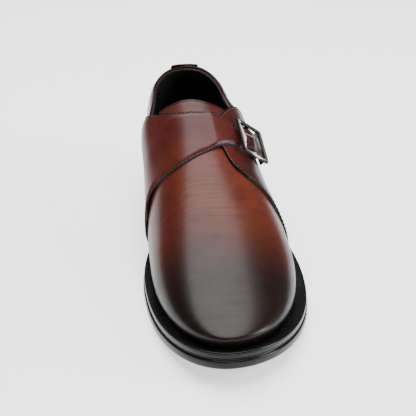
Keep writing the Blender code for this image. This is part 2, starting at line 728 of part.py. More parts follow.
def build_buckle(metal, leather):
    """Frame with its pin, the chape that holds the pin to the tab, and the prong."""
    place = buckle_matrix()
    half_x, half_y = FRAME_LONG / 2, FRAME_SHORT / 2
    in_x, in_low, in_high = half_x - FRAME_SIDE_BAR, -half_y + FRAME_NEAR_BAR, half_y - FRAME_FAR_BAR
    low, high = FRAME_HEIGHT, FRAME_HEIGHT + FRAME_THICKNESS
    chamfer = FRAME_THICKNESS * 0.35
    mid_x = (half_x + in_x) / 2
    mid_low, mid_high = (-half_y + in_low) / 2, (half_y + in_high) / 2
    loops = (
        rounded_loop(half_x, -half_y, half_y, FRAME_CORNER, low),
        rounded_loop(half_x, -half_y, half_y, FRAME_CORNER, high - chamfer),
        rounded_loop(mid_x, mid_low, mid_high, FRAME_CORNER * 0.6, high),
        rounded_loop(in_x, in_low, in_high, FRAME_CORNER * 0.5, high - chamfer),
        rounded_loop(in_x, in_low, in_high, FRAME_CORNER * 0.5, low),
    )
    bm = bmesh.new()
    grid_faces(bm, np.array(loops), wrap_first=True, wrap_second=True)
    frame = add_object("buckle_frame", bm, metal, math.radians(20))
    frame.matrix_world = place
    for x in (-1, 1):
        bm = bmesh.new()
        bmesh.ops.create_cube(bm, size=1.0)
        lug_foot = PIN_HEIGHT - PIN_RADIUS - GAP
        depth = FRAME_HEIGHT + FRAME_THICKNESS / 2 - lug_foot
        size = (FRAME_SIDE_BAR * 0.8, LUG_WIDTH, depth)
        bmesh.ops.scale(bm, verts=bm.verts, vec=size)
        centre = (x * (half_x - FRAME_SIDE_BAR / 2), 0.0, lug_foot + depth / 2)
        bmesh.ops.translate(bm, verts=bm.verts, vec=centre)
        join(frame, guide("lug_guide", bm, place))
    bm = bmesh.new()
    bmesh.ops.create_cone(
        bm, cap_ends=True, segments=12, radius1=PIN_RADIUS, radius2=PIN_RADIUS,
        depth=FRAME_LONG - FRAME_SIDE_BAR,
        matrix=Matrix.Translation((0, 0, PIN_HEIGHT)) @ Matrix.Rotation(math.pi / 2, 4, "Y"),
    )
    join(frame, guide("pin_guide", bm, place))

    around = PIN_RADIUS + GAP + CHAPE_LEATHER / 2
    turn = np.linspace(-math.pi / 2, -3 * math.pi / 2, 9)
    down = np.concatenate((
        np.linspace(CHAPE_TAIL, 0.0025, 5), around * np.cos(turn), (0.0014, 0.0029, 0.0042),
    ))
    low_mid, high_mid = PIN_HEIGHT - around, PIN_HEIGHT + around
    rest = TAB_TOP + GAP + CHAPE_LEATHER / 2
    out = np.concatenate((
        np.full(5, rest), PIN_HEIGHT + around * np.sin(turn),
        (high_mid - 0.0004, rest + 0.0017, rest + 0.0010),
    ))
    out = np.where(np.arange(len(out)) < 5, out, np.maximum(out, low_mid))
    tangent = np.stack((np.gradient(down), np.gradient(out)), axis=1)
    normal = np.stack((-tangent[:, 1], tangent[:, 0]), axis=1)
    normal /= np.linalg.norm(normal, axis=1)[:, None]
    line = np.stack((down, out), axis=1)
    fore = np.linspace(-CHAPE_WIDTH / 2, CHAPE_WIDTH / 2, 4)
    sides = (line + normal * CHAPE_LEATHER / 2, line - normal * CHAPE_LEATHER / 2)
    profile = np.concatenate((sides[0], sides[1][::-1]))
    bm = bmesh.new()
    rings = []
    for x in fore:
        rings.append(by_buckle(np.full(len(profile), x), profile[:, 0], profile[:, 1]))
    verts = grid_faces(bm, np.array(rings), wrap_second=True)
    count = len(line)
    for end in (verts[0], verts[-1]):
        for k in range(count - 1):
            bm.faces.new((end[k], end[k + 1], end[2 * count - 2 - k], end[2 * count - 1 - k]))
    chape = add_object("buckle_chape", bm, leather)
    bm = bmesh.new()
    bmesh.ops.create_cube(bm, size=1.0)
    slot_depth = 4 * around
    bmesh.ops.scale(bm, verts=bm.verts, vec=(CHAPE_SLOT, slot_depth, 4 * around))
    bmesh.ops.translate(bm, verts=bm.verts, vec=(0, 0, PIN_HEIGHT))
    cut(chape, guide("slot_guide", bm, place))

    strap = bpy.data.objects["quarter_inner_strap"]
    bm = bmesh.new()
    bmesh.ops.create_cone(
        bm, cap_ends=True, segments=16, radius1=STRAP_HOLE, radius2=STRAP_HOLE, depth=0.02,
        matrix=Matrix.Translation((0, -STRAP_HOLE / 2, PIN_HEIGHT + 0.005)),
    )
    cut(strap, guide("hole_guide", bm, place))

    top = FRAME_HEIGHT + FRAME_THICKNESS + GAP + PRONG_RADIUS
    route = (
        (0.0, 0.0002, PIN_HEIGHT + PIN_RADIUS + GAP + PRONG_RADIUS),
        (0.0, -0.0006, PIN_HEIGHT + 0.0029),
        (0.0, -0.0011, top + 0.0002),
        (0.0, -0.0026, top + 0.0008),
        (0.0, -0.0060, top + 0.0005),
        (0.0, -half_y + FRAME_NEAR_BAR * 0.35, top),
    )
    curve = bpy.data.curves.new("buckle_prong", "CURVE")
    curve.dimensions = "3D"
    curve.bevel_depth = PRONG_RADIUS
    curve.bevel_resolution = 2
    curve.use_fill_caps = True
    spline = curve.splines.new("POLY")
    spline.points.add(len(route) - 1)
    for point, at in zip(spline.points, route):
        point.co = (*at, 1.0)
    curve.materials.append(metal)
    prong = bpy.data.objects.new("buckle_prong", curve)
    bpy.context.scene.collection.objects.link(prong)
    prong.matrix_world = place


def arc_per_across():
    """Length round the last of one unit across, at the buckle."""
    step = 0.02
    ends = last(BUCKLE_ALONG, np.array((BUCKLE_ACROSS - step, BUCKLE_ACROSS + step)))
    return float(np.linalg.norm(ends[1] - ends[0])) / (2 * step)


def guide(name, bm, place):
    """A hidden body that cuts a piece or is joined to it."""
    mesh = bpy.data.meshes.new(name)
    bm.to_mesh(mesh)
    bm.free()
    made = bpy.data.objects.new(name, mesh)
    bpy.context.scene.collection.objects.link(made)
    made.matrix_world = place
    made.hide_render = True
    made.display_type = "WIRE"
    return made


def cut(target, tool):
    """Cuts a guide's shape out of a piece."""
    boolean = target.modifiers.new(tool.name, "BOOLEAN")
    boolean.operation = "DIFFERENCE"
    boolean.object = tool


def join(target, tool):
    """Joins a guide's shape to a piece."""
    boolean = target.modifiers.new(tool.name, "BOOLEAN")
    boolean.operation = "UNION"
    boolean.object = tool


def main():
    """Clears the scene and builds every piece."""
    for old in list(bpy.data.objects):
        bpy.data.objects.remove(old, do_unlink=True)
    rubber = material("black_rubber", (0.012, 0.012, 0.013), 0.32)
    leather = material("burnished_leather", (0.16, 0.045, 0.025), 0.30)
    lining = material("black_lining", (0.01, 0.01, 0.01), 0.70)
    nickel = material("grey_nickel", (0.55, 0.52, 0.48), 0.25, 1.0)
    build_sole(rubber, lining)
    build_upper(leather)
    build_tongue(leather)
    build_inner_quarter(leather)
    build_outer_quarter(leather)
    build_back_strip(leather)
    build_buckle(nickel, leather)


main()
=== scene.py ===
"""Dresses the left monk strap shoe in leather, thread, rubber and metal.

Metres, +Z up. The toe points towards -Y and the outer side is +X. The last is the part's
own surface of two coordinates: along runs from the heel's back, 0, to the toe's tip, 1,
and across from the inner feather edge, 0, over the ridge, 1, to the outer one, 2.
"""

import logging
import math
from dataclasses import dataclass, field
from enum import Enum

import bmesh
import bpy
import numpy as np
from mathutils import Matrix, Vector

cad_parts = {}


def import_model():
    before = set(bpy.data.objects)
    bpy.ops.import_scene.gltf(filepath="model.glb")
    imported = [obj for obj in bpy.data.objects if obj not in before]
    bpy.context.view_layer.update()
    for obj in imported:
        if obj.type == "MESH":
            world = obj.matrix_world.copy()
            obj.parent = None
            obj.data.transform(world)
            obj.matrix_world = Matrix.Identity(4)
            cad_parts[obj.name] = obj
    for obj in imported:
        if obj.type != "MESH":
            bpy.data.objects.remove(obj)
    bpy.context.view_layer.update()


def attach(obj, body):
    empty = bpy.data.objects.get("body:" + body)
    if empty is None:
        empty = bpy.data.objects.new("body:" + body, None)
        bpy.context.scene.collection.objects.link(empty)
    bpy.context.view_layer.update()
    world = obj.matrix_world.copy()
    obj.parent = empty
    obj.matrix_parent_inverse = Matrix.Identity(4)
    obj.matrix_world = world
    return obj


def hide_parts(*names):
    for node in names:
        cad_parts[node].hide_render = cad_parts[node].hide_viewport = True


Array = np.ndarray
Colour = tuple[float, float, float]
MM = 0.001


def smooth_step(t: Array) -> Array:
    """Rises from 0 to 1 as t does, level at both ends: 3t² less 2t³."""
    t = np.clip(t, 0.0, 1.0)
    return t * t * (3 - 2 * t)


def bell(x: Array) -> Array:
    """A bell of height 1 and unit width: e to the power of minus x squared."""
    return np.exp(-np.square(x))


def full_turn(count: int) -> Array:
    """Angles spread evenly over a full turn."""
    return np.linspace(0, 2 * math.pi, count, endpoint=False)


def add_object(name: str, data: bpy.types.ID) -> bpy.types.Object:
    """Makes an object of a mesh, a light or a camera, and puts it into the scene."""
    made = bpy.data.objects.new(name, data)
    bpy.context.scene.collection.objects.link(made)
    return made


@dataclass(frozen=True)
class Curve:
    """A smooth line through listed values: cubic pieces with the neighbours' slope."""

    at: tuple[float, ...]
    value: tuple[float, ...]

    def __call__(self, x: Array) -> Array:
        """Reads the line.

        Args:
            x: Where to read it; beyond the ends it stays level.

        Returns:
            The values, in the shape of x.
        """
        xs, ys = np.asarray(self.at, float), np.asarray(self.value, float)
        widths = np.diff(xs)
        steps = np.diff(ys) / widths
        inside = (steps[:-1] * widths[1:] + steps[1:] * widths[:-1]) / (widths[:-1] + widths[1:])
        slopes = np.concatenate((steps[:1], inside, steps[-1:]))
        x = np.clip(np.asarray(x, float), xs[0], xs[-1])
        i = np.clip(np.searchsorted(xs, x, side="right") - 1, 0, len(xs) - 2)
        h = xs[i + 1] - xs[i]
        t = (x - xs[i]) / h
        start = ys[i] * (1 + 2 * t) * (1 - t) ** 2 + slopes[i] * h * t * (1 - t) ** 2
        end = ys[i + 1] * t**2 * (3 - 2 * t) - slopes[i + 1] * h * t**2 * (1 - t)
        return start + end


PLAN_AT = (0.14, 0.17, 0.25, 0.335, 0.42, 0.50, 0.58, 0.66, 0.685)
RIDGE_AT = (0.00, 0.14, 0.25, 0.335, 0.42, 0.50, 0.58, 0.66, 0.75, 0.87, 1.00)


@dataclass
class Last:
    """The last: the closed surface that every piece of leather lies on."""

    sole_length: float = 0.300
    ball_width: float = 0.099
    instep_height: float = 0.100
    back_height: float = 0.094
    heel_height: float = 0.022
    outsole_forepart: float = 0.0068
    outsole_waist: float = 0.0045
    midsole: float = 0.0044
    toe_spring: float = 0.010
    toe_ledge: float = 0.0075
    inner_ball_ledge: float = 0.0079
    outer_ball_ledge: float = 0.0111
    waist_ledge: float = 0.0035
    heel_ledge: float = 0.0050
    gap: float = 0.0003
    waist_start: float = 0.26
    waist_run: float = 0.34
    spring_start: float = 0.76
    spring_run: float = 0.24
    spring_power: float = 1.8
    thick_start: float = 0.36
    thick_run: float = 0.20
    heel_ledge_end: float = 0.14
    waist_ledge_run: float = 0.18
    outer_ledge_start: float = 0.37
    inner_ledge_start: float = 0.47
    ball_ledge_run: float = 0.22
    toe_ledge_start: float = 0.75
    toe_ledge_run: float = 0.25
    heel_turn: float = 0.14
    toe_turn: float = 0.685
    heel_round: float = 2.25
    inner_round: float = 1.99
    outer_round: float = 1.92
    end_swell: float = 0.03
    tuck: float = 0.14
    corner: float = 0.322
    inner: Curve = Curve(PLAN_AT, (0.62, 0.62, 0.59, 0.56, 0.59, 0.67, 0.76, 0.79, 0.79))
    outer: Curve = Curve(PLAN_AT, (0.62, 0.63, 0.65, 0.68, 0.77, 0.89, 1.00, 1.04, 1.04))
    inner_swell: Curve = Curve(PLAN_AT, (0.04, 0.045, 0.12, 0.22, 0.19, 0.13, 0.08, 0.05, 0.05))
    outer_swell: Curve = Curve(PLAN_AT, (0.04, 0.045, 0.12, 0.09, 0.065, 0.06, 0.06, 0.06, 0.06))
    height: Curve = Curve(RIDGE_AT, (1.10, 1.10, 1.12, 1.12, 0.99, 0.85, 0.73, 0.62, 0.51, 0.42, 0.37))
    lean: Curve = Curve(RIDGE_AT, (0.0, 0.0, 0.02, 0.04, 0.05, 0.05, 0.03, 0.01, 0.0, 0.0, 0.0))
    belly: Curve = Curve(
        RIDGE_AT, (0.18, 0.18, 0.24, 0.34, 0.26, 0.16, 0.11, 0.08, 0.07, 0.065, 0.06))
    flat: Curve = Curve(
        RIDGE_AT, (2.00, 2.00, 1.95, 1.90, 1.90, 1.95, 2.00, 2.10, 2.20, 2.30, 2.30))
    full: Curve = Curve(
        RIDGE_AT, (2.00, 2.00, 1.95, 1.90, 1.90, 1.95, 2.00, 2.10, 2.15, 2.20, 2.20))
    inner_collar: Curve = Curve(
        (0.00, 0.05, 0.12, 0.20, 0.27, 0.322), (1.000, 0.985, 0.915, 0.845, 0.822, 0.858))
    outer_collar: Curve = Curve(
        (0.00, 0.05, 0.12, 0.20, 0.27, 0.322), (1.000, 0.985, 0.905, 0.825, 0.800, 0.830))
    throat: Curve = Curve(
        (0.00, 0.16, 0.38, 0.60, 0.80, 1.00), (0.322, 0.366, 0.410, 0.450, 0.480, 0.500))

    @property
    def length(self) -> float:
        """Length of the feather edge, inside the sole's ledges."""
        return self.sole_length - self.toe_ledge - self.heel_ledge

    @property
    def back(self) -> float:
        """Y of the feather edge at the heel's back."""
        return self.sole_length / 2 - self.heel_ledge

    @property
    def half(self) -> float:
        """Half the ball's width, which the plan's shares are of."""
        return self.ball_width / 2

    @property
    def axis(self) -> float:
        """X of the last's centre line."""
        feather = self.half * (max(self.outer.value) - max(self.inner.value))
        return -(feather + self.outer_ball_ledge - self.inner_ball_ledge) / 2

    def share(self, y: Array) -> Array:
        """The share of the length at Y."""
        return (self.back - y) / self.length

    def bottom(self, v: Array) -> Array:
        """Height of the outsole's underside: a level heel seat, a waist and a sprung toe."""
        heel = self.heel_height * (1 - smooth_step((v - self.waist_start) / self.waist_run))
        spring = np.clip((v - self.spring_start) / self.spring_run, 0.0, None)
        return heel + self.toe_spring * spring**self.spring_power

    def outsole(self, v: Array) -> Array:
        """Thickness of the outsole, thinner under the waist."""
        more = self.outsole_forepart - self.outsole_waist
        return self.outsole_waist + more * smooth_step((v - self.thick_start) / self.thick_run)

    def midsole_foot(self, v: Array) -> Array:
        """Height of the midsole's underside."""
        return self.bottom(v) + self.outsole(v) + self.gap

    def seat(self, v: Array) -> Array:
        """Height of the midsole's top."""
        return self.midsole_foot(v) + self.midsole

    def ledge(self, v: Array, outer: Array) -> Array:
        """How far the sole stands out beyond the feather edge."""
        side = np.where(outer, self.outer_ball_ledge, self.inner_ball_ledge)
        start = np.where(outer, self.outer_ledge_start, self.inner_ledge_start)
        to_waist = smooth_step((v - self.heel_ledge_end) / self.waist_ledge_run)
        to_ball = smooth_step((v - start) / self.ball_ledge_run)
        to_toe = smooth_step((v - self.toe_ledge_start) / self.toe_ledge_run)
        waist = self.heel_ledge + (self.waist_ledge - self.heel_ledge) * to_waist
        ball = waist + (side - self.waist_ledge) * to_ball
        return ball + (self.toe_ledge - side) * to_toe

    def rib(self, along: Array, outer: Array, swell: Array, extra: Array) -> tuple[Array, ...]:
        """Plan of the ribs: straight across between the turns, a fan round each end.

        Round an end the outline is a quarter of a superellipse, whose point at angle p is
        a·cos(p)^(2/n), b·sin(p)^(2/n).

        Args:
            along: Stations along the last.
            outer: Whether each is on the outer side.
            swell: How much of the wall's bulge each takes.
            extra: Distance added square to the outline.

        Returns:
            X and Y of the foot, and X and Y of the root on the centre line.
        """
        c = np.clip(along, self.heel_turn, self.toe_turn)
        side = np.where(outer, 1.0, -1.0)
        half = np.where(outer, self.outer(c), self.inner(c)) * self.half
        bulge = np.where(outer, self.outer_swell(c), self.inner_swell(c))
        root_x = self.axis - self.lean(c) * self.half
        root_y = self.back - c * self.length
        a = half - side * (root_x - self.axis)
        heel = along < self.heel_turn
        b = np.where(heel, self.heel_turn, 1 - self.toe_turn) * self.length
        toe = (along - self.toe_turn) / (1 - self.toe_turn)
        turn = np.clip(np.where(heel, 1 - along / self.heel_turn, toe), 0.0, 1.0)
        power = np.where(heel, self.heel_round, np.where(outer, self.outer_round, self.inner_round))
        cos = np.clip(np.cos(turn * math.pi / 2), 0, 1)
        sin = np.sin(turn * math.pi / 2)
        nx, ny = cos ** (2 - 2 / power) / a, sin ** (2 - 2 / power) / b
        bulge = (bulge + (self.end_swell - bulge) * smooth_step(turn)) * self.half
        push = (bulge * swell + extra) / np.hypot(nx, ny)
        forward = np.where(heel, 1.0, -1.0)
        foot_x = root_x + side * (a * cos ** (2 / power) + nx * push)
        foot_y = root_y + forward * (b * sin ** (2 / power) + ny * push)
        return foot_x, foot_y, root_x, root_y

    def point(self, along: Array, across: Array, off: Array = 0.0) -> Array:
        """Points of the last, or of the surface that lies off outside it.

        The wall tucks in to the feather edge as a parabola below its widest line. Above
        it the section is a quarter of a superellipse up to the ridge.

        Args:
            along: Stations along the last.
            across: Stations across it.
            off: Distance outside it.

        Returns:
            The points, with X, Y and Z on the last axis.
        """
        along, across, off = np.broadcast_arrays(*np.atleast_1d(along, across, off))
        outer = across > 1.0
        q = np.where(outer, 2.0 - across, across)
        low = np.clip(q / self.tuck, 0.0, 1.0)
        angle = np.clip((q - self.tuck) / (1 - self.tuck), 0.0, 1.0) * math.pi / 2
        rho = np.clip(np.cos(angle), 0, 1) ** (2 / self.flat(along))
        rise = np.sin(angle) ** (2 / self.full(along))
        foot_x, foot_y, root_x, root_y = self.rib(along, outer, 1 - (1 - low) ** 2, off)
        x = root_x + (foot_x - root_x) * rho
        y = root_y + (foot_y - root_y) * rho
        v = np.clip(self.share(y), 0.0, 1.0)
        step = 0.01
        slope = (self.height(v + step) - self.height(v - step)) / (2 * step * self.length)
        top = self.height(v) * self.instep_height
        top = top + off * np.sqrt(1 + np.square(slope * self.instep_height))
        belly = self.belly(along) * self.instep_height
        base = self.seat(self.share(y)) + self.gap
        return np.stack((x, y, base + belly * low + (top - base - belly) * rise), axis=-1)

    def at_height(self, along: Array, outer: bool, height: Array) -> Array:
        """Where each rib of one side reaches a height, read between 81 samples of it."""
        along, height = np.atleast_1d(along, height)
        samples = np.linspace(0.0, 1.0, 81)
        q = 2.0 - samples if outer else samples
        z = self.point(along[:, None], q[None, :])[..., 2]
        i = np.clip(np.argmax(z >= height[:, None], axis=1), 1, 80)
        rows = np.arange(len(along))
        part = (height - z[rows, i - 1]) / (z[rows, i] - z[rows, i - 1])
        found = samples[i - 1] + (samples[i] - samples[i - 1]) * part
        return 2.0 - found if outer else found

    def collar(self, along: Array, outer: bool, below: float = 0.0) -> Array:
        """Across of the collar's edge, or of a line below it."""
        share = self.outer_collar(along) if outer else self.inner_collar(along)
        return self.at_height(along, outer, share * self.back_height - below)

    def collar_corner(self, outer: bool, below: float = 0.0) -> float:
        """Across of the collar's front corner, or of a point below it."""
        return self.collar(np.array([self.corner]), outer, below)[0]


class Term:
    """A number in a material's node tree, which takes Python's operators."""

    def __init__(self, graph: "Graph", socket: bpy.types.NodeSocket) -> None:
        """Wraps one output socket of a graph."""
        self.graph = graph
        self.socket = socket

    def __add__(self, other: "Term | float") -> "Term":
        """The sum."""
        return self.graph.math("ADD", self, other)

    def __radd__(self, other: float) -> "Term":
        """The sum, number first."""
        return self.graph.math("ADD", other, self)

    def __sub__(self, other: "Term | float") -> "Term":
        """The difference."""
        return self.graph.math("SUBTRACT", self, other)

    def __rsub__(self, other: float) -> "Term":
        """The difference, number first."""
        return self.graph.math("SUBTRACT", other, self)

    def __mul__(self, other: "Term | float") -> "Term":
        """The product."""
        return self.graph.math("MULTIPLY", self, other)

    def __rmul__(self, other: float) -> "Term":
        """The product, number first."""
        return self.graph.math("MULTIPLY", other, self)


class Graph:
    """The node tree of one material, built round its Principled shader."""

    def __init__(self, name: str) -> None:
        """Starts a material with its shader and its Object coordinates."""
        self.material = bpy.data.materials.new(name)
        self.material.use_nodes = True
        self.nodes = self.material.node_tree.nodes
        self.shader = self.nodes["Principled BSDF"]
        self.place = self.node("ShaderNodeTexCoord", {}, {}).outputs["Object"]

    def node(self, kind: str, settings: dict, inputs: dict) -> bpy.types.Node:
        """Adds a node.

        Args:
            kind: The node's type.
            settings: Its own settings, set first; "stops" fills a colour ramp.
            inputs: Values or links of its sockets, by name or number.

        Returns:
            The new node.
        """
        made = self.nodes.new(kind)
        for key, value in settings.items():
            if key == "stops":
                self._stops(made.color_ramp, value)
            else:
                setattr(made, key, value)
        for key, value in inputs.items():
            self.feed(made.inputs[key], value)
        return made

    def _stops(self, ramp: bpy.types.ColorRamp, stops: tuple) -> None:
        """Fills a colour ramp with its places and colours."""
        while len(ramp.elements) < len(stops):
            ramp.elements.new(0.5)
        for element, (place, colour) in zip(ramp.elements, stops):
            element.position = place
            element.color = (*colour, 1.0)

    def feed(self, socket: bpy.types.NodeSocket, value: object) -> None:
        """Links a socket to a term or an output, or sets its value."""
        if isinstance(value, Term):
            value = value.socket
        if isinstance(value, bpy.types.NodeSocket):
            self.material.node_tree.links.new(value, socket)
        else:
            socket.default_value = value

    def math(self, operation: str, *values: "Term | float") -> Term:
        """A Math node on terms and numbers."""
        made = self.node("ShaderNodeMath", {"operation": operation}, dict(enumerate(values)))
        return Term(self, made.outputs[0])

    def noise(self, scale: float, detail: float = 2.0, at: object = None, rough: float = 0.5) -> Term:
        """Noise of a given scale, per metre, on the Object coordinates or at other ones."""
        inputs = {"Vector": at or self.place, "Scale": scale, "Detail": detail, "Roughness": rough}
        return Term(self, self.node("ShaderNodeTexNoise", {}, inputs).outputs["Fac"])

    def stretched(self, scale: Colour) -> bpy.types.NodeSocket:
        """Object coordinates stretched along the axes."""
        made = self.node("ShaderNodeMapping", {}, {"Vector": self.place, "Scale": scale})
        return made.outputs["Vector"]

    def axes(self) -> tuple[Term, Term, Term]:
        """X, Y and Z of the Object coordinates."""
        made = self.node("ShaderNodeSeparateXYZ", {}, {"Vector": self.place})
        return tuple(Term(self, made.outputs[i]) for i in range(3))

    def layer(self, name: str) -> Term:
        """A number stored on the piece's points."""
        made = self.node("ShaderNodeAttribute", {"attribute_name": name}, {})
        return Term(self, made.outputs["Fac"])

    def between(self, value: Term, low: float, high: float) -> Term:
        """Rises smoothly from 0 to 1 as a term goes from low to high."""
        inputs = {"Value": value, "From Min": low, "From Max": high}
        made = self.node("ShaderNodeMapRange", {"interpolation_type": "SMOOTHSTEP"}, inputs)
        return Term(self, made.outputs["Result"])

    def ramp(self, value: Term, stops: tuple) -> bpy.types.NodeSocket:
        """A colour read from a ramp."""
        return self.node("ShaderNodeValToRGB", {"stops": stops}, {"Fac": value}).outputs["Color"]

    def blend(self, factor: "Term | float", first: object, second: object) -> bpy.types.NodeSocket:
        """A colour between two others."""
        first = (*first, 1.0) if isinstance(first, tuple) else first
        second = (*second, 1.0) if isinstance(second, tuple) else second
        made = self.node("ShaderNodeMix", {"data_type": "RGBA"}, {0: factor, 6: first, 7: second})
        return made.outputs[2]

    def bump(self, height: Term, distance: float, strength: float = 1.0) -> None:
        """Raises the surface by a height times a distance in metres."""
        inputs = {"Height": height, "Distance": distance, "Strength": strength}
        normal = self.node("ShaderNodeBump", {}, inputs).outputs["Normal"]
        self.feed(self.shader.inputs["Normal"], normal)

    def surface(self, **values: object) -> bpy.types.Material:
        """Feeds the shader's sockets, named with underscores, and gives the material."""
        for key, value in values.items():
            socket = self.shader.inputs[key.replace("_", " ")]
            if isinstance(value, tuple):
                value = (*value, 1.0)
            self.feed(socket, value)
        return self.material


class Area(Enum):
    """Which part of the upper a leather finish is for."""

    VAMP = "vamp_leather"
    QUARTER = "quarter_leather"
    TONGUE = "tongue_leather"


@dataclass(frozen=True)
class BurnishedLeather:
    """Waxed calf that goes from reddish tan to near black at the toe and at cut edges."""

    area: Area
    light: Colour = (0.105, 0.0185, 0.0085)
    deep: Colour = (0.045, 0.0068, 0.0042)
    dark: Colour = (0.0030, 0.0018, 0.0017)
    edge_reach: float = 0.0045
    roughness: float = 0.32

    def material(self) -> bpy.types.Material:
        """Builds the finish: hand-rubbed colour with painted shade on the vamp's flanks and on the
        quarters' outer side round the buckle, fine grain, and a wax coat.
        """
        g = Graph(self.area.value)
        x, y, z = g.axes()
        cloud = g.noise(26.0, 3.0)
        rubbed = g.noise(120.0, 4.0, g.stretched((1.0, 0.45, 1.0)))
        tone = g.between(cloud * 0.7 + rubbed * 0.3, 0.30, 0.72)
        colour = g.blend(tone, self.deep, self.light)
        if self.area is Area.VAMP:
            outer = g.between(x + (cloud - 0.5) * 0.02, -0.012, 0.044)
            colour = g.blend(outer * 0.55, colour, (0.105, 0.0250, 0.0090))
            # Painted shade: the vamp darkens towards both flanks, where its sides turn away from the
            # light.
            painted_flank_shade = g.between(0.0 - x + (cloud - 0.5) * 0.012, 0.012, 0.040)
            painted_flank_shade = painted_flank_shade + g.between(x + (cloud - 0.5) * 0.012, 0.008, 0.036)
            colour = g.blend(painted_flank_shade * 0.55, colour, self.deep)
            toe = g.between(0.0 - y + (rubbed - 0.5) * 0.026 + (cloud - 0.5) * 0.012, 0.034, 0.104)
            colour = g.blend(toe * 0.94, colour, self.dark)
            low = g.between(z + (rubbed - 0.5) * 0.010, 0.034, 0.016)
            colour = g.blend(low * 0.8, colour, self.dark)
        if self.area is Area.QUARTER:
            # Painted shade: the quarter leather darkens towards the outer side, round the buckle.
            painted_buckle_shade = g.between(x + (rubbed - 0.5) * 0.008, 0.008, 0.026)
            colour = g.blend(painted_buckle_shade * 0.62, colour, self.dark)
        edge = g.between(g.layer("edge") + (rubbed - 0.5) * 0.002, self.edge_reach, 0.0)
        colour = g.blend(edge, colour, self.dark)
        streaks = g.noise(240.0, 3.0, g.stretched((0.12, 1.0, 1.0)))
        colour = g.blend(g.between(streaks, 0.50, 0.78) * 0.35, colour, self.dark)
        grain = g.noise(1500.0, 2.0)
        crease = g.noise(330.0, 2.0, g.stretched((0.5, 1.6, 0.5)))
        g.bump(grain * 0.5 + crease * 0.5, 0.00004, 0.45)
        shine = self.roughness + (rubbed - 0.5) * 0.14 + (streaks - 0.5) * 0.16 + (grain - 0.5) * 0.05
        return g.surface(
            Base_Color=colour, Roughness=shine, Coat_Weight=0.02, Coat_Roughness=0.16,
            Specular_IOR_Level=0.17,
        )


@dataclass(frozen=True)
class LiningLeather:
    """Matt black lining and sock leather."""

    name: str = "black_lining"
    colour: Colour = (0.0030, 0.0028, 0.0029)

    def material(self) -> bpy.types.Material:
        """Builds the finish: soft black with fine grain."""
        g = Graph(self.name)
        grain = g.noise(900.0, 3.0)
        worn = g.noise(40.0, 2.0)
        colour = g.blend(g.between(worn, 0.35, 0.75), self.colour, (0.0060, 0.0054, 0.0054))
        g.bump(grain, 0.00008, 0.5)
        return g.surface(Base_Color=colour, Roughness=0.55 + worn * 0.2, Specular_IOR_Level=0.3)


@dataclass(frozen=True)
class SoleRubber:
    """Polished black rubber of the sole's edge, duller on its underside."""

    name: str = "sole_rubber"
    colour: Colour = (0.0022, 0.0022, 0.0025)

    def material(self) -> bpy.types.Material:
        """Builds the finish: glossy black with a moulded ripple and light scuffs."""
        g = Graph(self.name)
        ripple = g.noise(180.0, 2.0)
        scuff = g.between(g.noise(700.0, 3.0, g.stretched((1.0, 1.0, 6.0))), 0.58, 0.75)
        colour = g.blend(scuff * 0.3, self.colour, (0.0070, 0.0068, 0.0068))
        g.bump(ripple, 0.00002, 0.4)
        return g.surface(
            Base_Color=colour, Roughness=0.20 + ripple * 0.08 + scuff * 0.08, Specular_IOR_Level=0.20)


@dataclass(frozen=True)
class WaxedThread:
    """Twisted sewing thread, lighter than the burnished edges that it runs along."""

    name: str = "waxed_thread"
    colour: Colour = (0.055, 0.0220, 0.0150)

    def material(self) -> bpy.types.Material:
        """Builds the finish: fine twist and a soft sheen."""
        g = Graph(self.name)
        twist = g.noise(2600.0, 1.0)
        colour = g.blend(twist, self.colour, (0.085, 0.0380, 0.0260))
        g.bump(twist, 0.00006, 0.7)
        return g.surface(Base_Color=colour, Roughness=0.5 + twist * 0.1)


@dataclass(frozen=True)
class GreyNickel:
    """Nickel of the buckle, polished on its ridges and blackened beside them; the polish also carries a
    painted highlight on the bars' crests.
    """

    name: str = "grey_nickel"
    polished: Colour = (0.72, 0.67, 0.61)
    blackened: Colour = (0.030, 0.026, 0.023)

    def material(self) -> bpy.types.Material:
        """Builds the finish: the stored number is how much a place is polished, with a painted
        highlight on the crests added in.
        """
        g = Graph(self.name)
        marks = g.noise(900.0, 3.0, g.stretched((1.0, 5.0, 1.0)))
        cloud = g.noise(240.0, 2.0)
        # The stored number is partly polish and partly a painted highlight on the crests.
        polish_and_highlight = g.between(g.layer("edge") + (cloud - 0.5) * 0.25, 0.30, 0.75)
        colour = g.blend(polish_and_highlight, self.blackened, self.polished)
        g.bump(marks, 0.00002, 0.4)
        return g.surface(Base_Color=colour, Metallic=1.0, Roughness=0.34 + marks * 0.10 - polish_and_highlight * 0.16)


@dataclass(frozen=True)
class StudioFloor:
    """Plain white floor."""

    name: str = "studio_floor"
    colour: Colour = (0.86, 0.86, 0.87)
    glow: float = 1.0

    def material(self) -> bpy.types.Material:
        """Builds the finish: even white, lit from within a little, with a trace of unevenness."""
        g = Graph(self.name)
        cloud = g.noise(3.0, 1.0)
        colour = g.blend(cloud * 0.2, self.colour, (0.83, 0.83, 0.84))
        g.shader.inputs["Emission Strength"].default_value = self.glow
        return g.surface(Base_Color=colour, Roughness=0.6, Emission_Color=(1.0, 1.0, 1.0))


